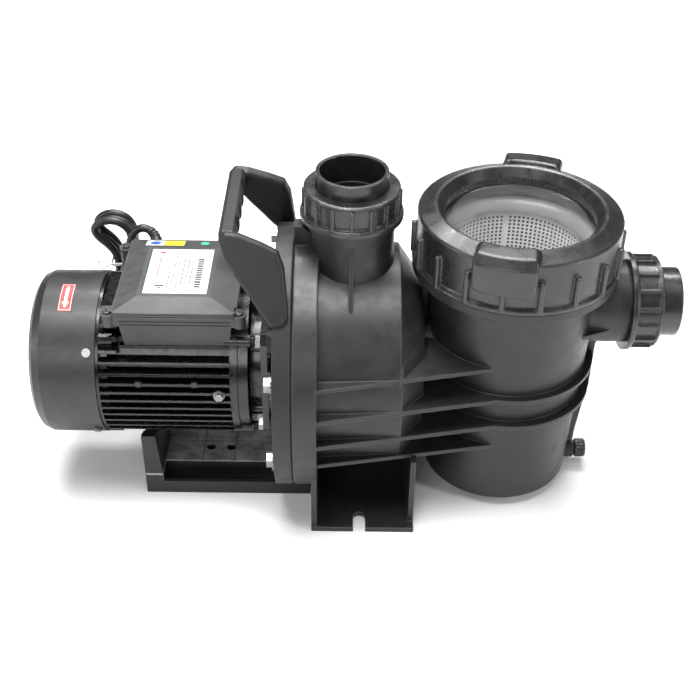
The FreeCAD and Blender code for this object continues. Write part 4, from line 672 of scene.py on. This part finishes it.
def from_inlet(row, column):
    """Distance of a cell's middle from the axis of the suction port; far away on the other side."""
    angle = 2 * math.pi * (column + 0.5) / COLUMNS
    radius = (wall_profile[row][0] + wall_profile[row + 1][0]) / 2
    height = (wall_profile[row][1] + wall_profile[row + 1][1]) / 2
    return math.hypot(radius * math.sin(angle), height - INLET_Z) if math.cos(angle) > 0 else 1.0


def solid_in_wall(row, column):
    """Hoops, uprights and the lip of the inlet."""
    return (row in (0, 13, 26, 38) or column % 24 == 0
            or from_inlet(row, column) < INLET_RADIUS + INLET_LIP)


def solid_in_floor(row, column):
    """Rings, spokes and the middle of the floor."""
    return row in (0, 5, 9) or row > 11 or column % 16 == 0


basket_wall = lattice("basket_wall", wall_profile, 0.0009, 0.22, 0.14, solid_in_wall,
                      lambda row, column: from_inlet(row, column) < INLET_RADIUS)
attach(basket_wall, "basket")
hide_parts("strainer_basket")

floor_profile = [(0.0565, 0.0985)] + [(0.0540 - 0.0038 * i, 0.0975) for i in range(13)]
basket_floor = lattice("basket_floor", floor_profile, 0.0012, 0.13, 0.13, solid_in_floor,
                       lambda row, column: False)
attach(basket_floor, "basket")

RIM_PROFILE = ((0.0628, 0.2510), (0.0640, 0.2550), (0.0705, 0.2572), (0.0722, 0.2584), (0.0750, 0.2586),
               (0.0752, 0.2598), (0.0748, 0.2616), (0.0690, 0.2616), (0.0655, 0.2600), (0.0612, 0.2545),
               (0.0610, 0.2510))
rim_rings = [[Vector((POT_X + radius * math.cos(a), radius * math.sin(a), height)) for a in angles(120)]
             for radius, height in RIM_PROFILE]
rim_rings.append(rim_rings[0])
basket_rim = loft("basket_rim", rim_rings, BASKET, smooth=True, caps=False)
rounded(basket_rim, 0.0004, 2, 40)
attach(basket_rim, "basket")


# ---------------------------------------------------------------- labels

PRINT = 0.00004                     # height of print above its label


def patch(name, quads, lift, material):
    """Thin plates on a surface; a quad is a list of four points."""
    vertices, faces = [], []
    for quad in quads:
        base = len(vertices)
        normal = (Vector(quad[1]) - Vector(quad[0])).cross(Vector(quad[3]) - Vector(quad[0])).normalized()
        vertices += [Vector(p) for p in quad] + [Vector(p) + normal * lift for p in quad]
        faces += [(base + 3, base + 2, base + 1, base), (base + 4, base + 5, base + 6, base + 7)]
        for k in range(4):
            j = (k + 1) % 4
            faces.append((base + k, base + j, base + 4 + j, base + 4 + k))
    thing = mesh_object(name, vertices, faces, material)
    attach(thing, "root")


label_low, label_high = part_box("rating_label")
LABEL_Z = label_high[2]


def label_bar(u0, v0, u1, v1):
    """Bar on the rating label; u runs along the label's length in Y, v across it in X."""
    x0 = label_low[0] + (label_high[0] - label_low[0]) * v0
    x1 = label_low[0] + (label_high[0] - label_low[0]) * v1
    y0 = label_low[1] + (label_high[1] - label_low[1]) * u0
    y1 = label_low[1] + (label_high[1] - label_low[1]) * u1
    return [(x0, y0, LABEL_Z), (x1, y0, LABEL_Z), (x1, y1, LABEL_Z), (x0, y1, LABEL_Z)]


TITLE_LETTERS, MARK_LETTERS = 13, 9
LINES = ((0.69, 0.04, 0.12), (0.62, 0.03, 0.08), (0.55, 0.04, 0.11), (0.48, 0.03, 0.08),
         (0.41, 0.04, 0.12), (0.34, 0.03, 0.08))       # place, least and most length of a word
title, lines, marks = [], [], []
position = 0.13
for _ in range(TITLE_LETTERS):
    width = rng.uniform(0.034, 0.052)
    title.append(label_bar(position, 0.775, position + width, 0.875))
    position += width + 0.012
for level, least, most in LINES:
    position = 0.10
    while position < 0.88:
        width = rng.uniform(least, most)
        if rng.random() > 0.3:
            lines.append(label_bar(position, level, min(0.92, position + width), level + 0.026))
        position += width + 0.02
for level in (0.735, 0.32):
    lines.append(label_bar(0.08, level, 0.94, level + 0.005))
position = 0.42
for _ in range(MARK_LETTERS):
    width = rng.uniform(0.022, 0.040)
    marks.append(label_bar(position, 0.145, position + width, 0.180))
    position += width + 0.014
marks.append(label_bar(0.90, 0.13, 0.945, 0.22))
title += [label_bar(0.10, 0.20, 0.13, 0.27), label_bar(0.15, 0.16, 0.19, 0.30),
          label_bar(0.21, 0.16, 0.235, 0.30)]
patch("label_title", title, PRINT, INK)
patch("label_lines", lines, PRINT, PALE_INK)
patch("label_red_marks", marks, PRINT, RED)

# plain coloured stickers on the rear slope of the terminal lid
SLOPE_FOOT = Vector((0.0, 0.0600, 0.2160))
SLOPE_HEAD = Vector((0.0, 0.0410, 0.2203))
slope_up = (SLOPE_HEAD - SLOPE_FOOT).normalized()
slope_normal = slope_up.cross(Vector((1, 0, 0))).normalized()


def on_slope(x, along_slope):
    point = SLOPE_FOOT + slope_up * along_slope
    return Vector((x, point.y, point.z)) + slope_normal * 0.00003


def slope_bar(x0, x1, low, high):
    return [on_slope(x0, low), on_slope(x0, high), on_slope(x1, high), on_slope(x1, low)]


def slope_disc(x, middle, radius):
    """Fan of quads about a point of the slope."""
    half = math.pi / 16
    return [[on_slope(x, middle)] + [on_slope(x + radius * math.cos(a), middle + radius * math.sin(a))
                                     for a in (start + 2 * half, start + half, start)]
            for start in angles(16)]


patch("lid_sticker_white", [slope_bar(-0.1920, -0.1748, 0.0016, 0.0148)], PRINT, WHITE)
patch("lid_sticker_blue_disc", slope_disc(-0.1834, 0.0082, 0.0050), 0.00009, BLUE)
patch("lid_sticker_yellow", [slope_bar(-0.1744, -0.1562, 0.0016, 0.0148)], PRINT, YELLOW)
patch("lid_sticker_green_disc", slope_disc(-0.1372, 0.0080, 0.0041), PRINT, GREEN)

# direction arrow on the fan cover, wrapped on the cover about the shaft
SHAFT_Z = 0.130
arrow_low, arrow_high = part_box("arrow_label")
ARROW_RADIUS = max(math.hypot(v.co.y, v.co.z - SHAFT_Z)
                   for v in nodes["arrow_label"].data.vertices) + 0.00005
arrow_x = (arrow_low[0] + arrow_high[0]) / 2
arrow_y, arrow_z = (arrow_low[1] + arrow_high[1]) / 2, (arrow_low[2] + arrow_high[2]) / 2
arrow_angle = math.atan2(arrow_z - SHAFT_Z, arrow_y)


def on_cover(x, arc):
    """Point on the fan cover; arc is measured round it from the label's middle."""
    a = arrow_angle + arc / ARROW_RADIUS
    return Vector((arrow_x + x, ARROW_RADIUS * math.cos(a), SHAFT_Z + ARROW_RADIUS * math.sin(a)))


shaft_half, head_half, tip, head_base, tail_end = 0.0014, 0.0034, 0.0130, 0.0065, -0.0125
quads = []
steps = 8
for i in range(steps):
    a0 = head_base + (tail_end - head_base) * i / steps
    a1 = head_base + (tail_end - head_base) * (i + 1) / steps
    quads.append((shaft_half, a1, shaft_half, a0))
for i in range(steps):
    a0 = tip + (head_base - tip) * i / steps
    a1 = tip + (head_base - tip) * (i + 1) / steps
    quads.append((head_half * i / steps, a0, head_half * (i + 1) / steps, a1))
arrow_faces = [[on_cover(-w0, a0), on_cover(w0, a0), on_cover(w1, a1), on_cover(-w1, a1)]
               for w0, a0, w1, a1 in quads]
patch("arrow_mark", arrow_faces, 0.00005, WHITE)
frame_faces = []
FRAME_HALF_X, FRAME_HALF_ARC, FRAME_LINE = 0.0054, 0.0152, 0.0004
for x0, x1 in ((-FRAME_HALF_X, FRAME_LINE - FRAME_HALF_X), (FRAME_HALF_X - FRAME_LINE, FRAME_HALF_X)):
    for i in range(12):
        a0 = FRAME_HALF_ARC * (i / 6 - 1)
        a1 = FRAME_HALF_ARC * ((i + 1) / 6 - 1)
        frame_faces.append([on_cover(x0, a0), on_cover(x1, a0), on_cover(x1, a1), on_cover(x0, a1)])
for a0 in (-FRAME_HALF_ARC, FRAME_HALF_ARC - FRAME_LINE):
    a1 = a0 + FRAME_LINE
    frame_faces.append([on_cover(-FRAME_HALF_X, a0), on_cover(FRAME_HALF_X, a0),
                        on_cover(FRAME_HALF_X, a1), on_cover(-FRAME_HALF_X, a1)])
patch("arrow_frame", frame_faces, PRINT, WHITE)
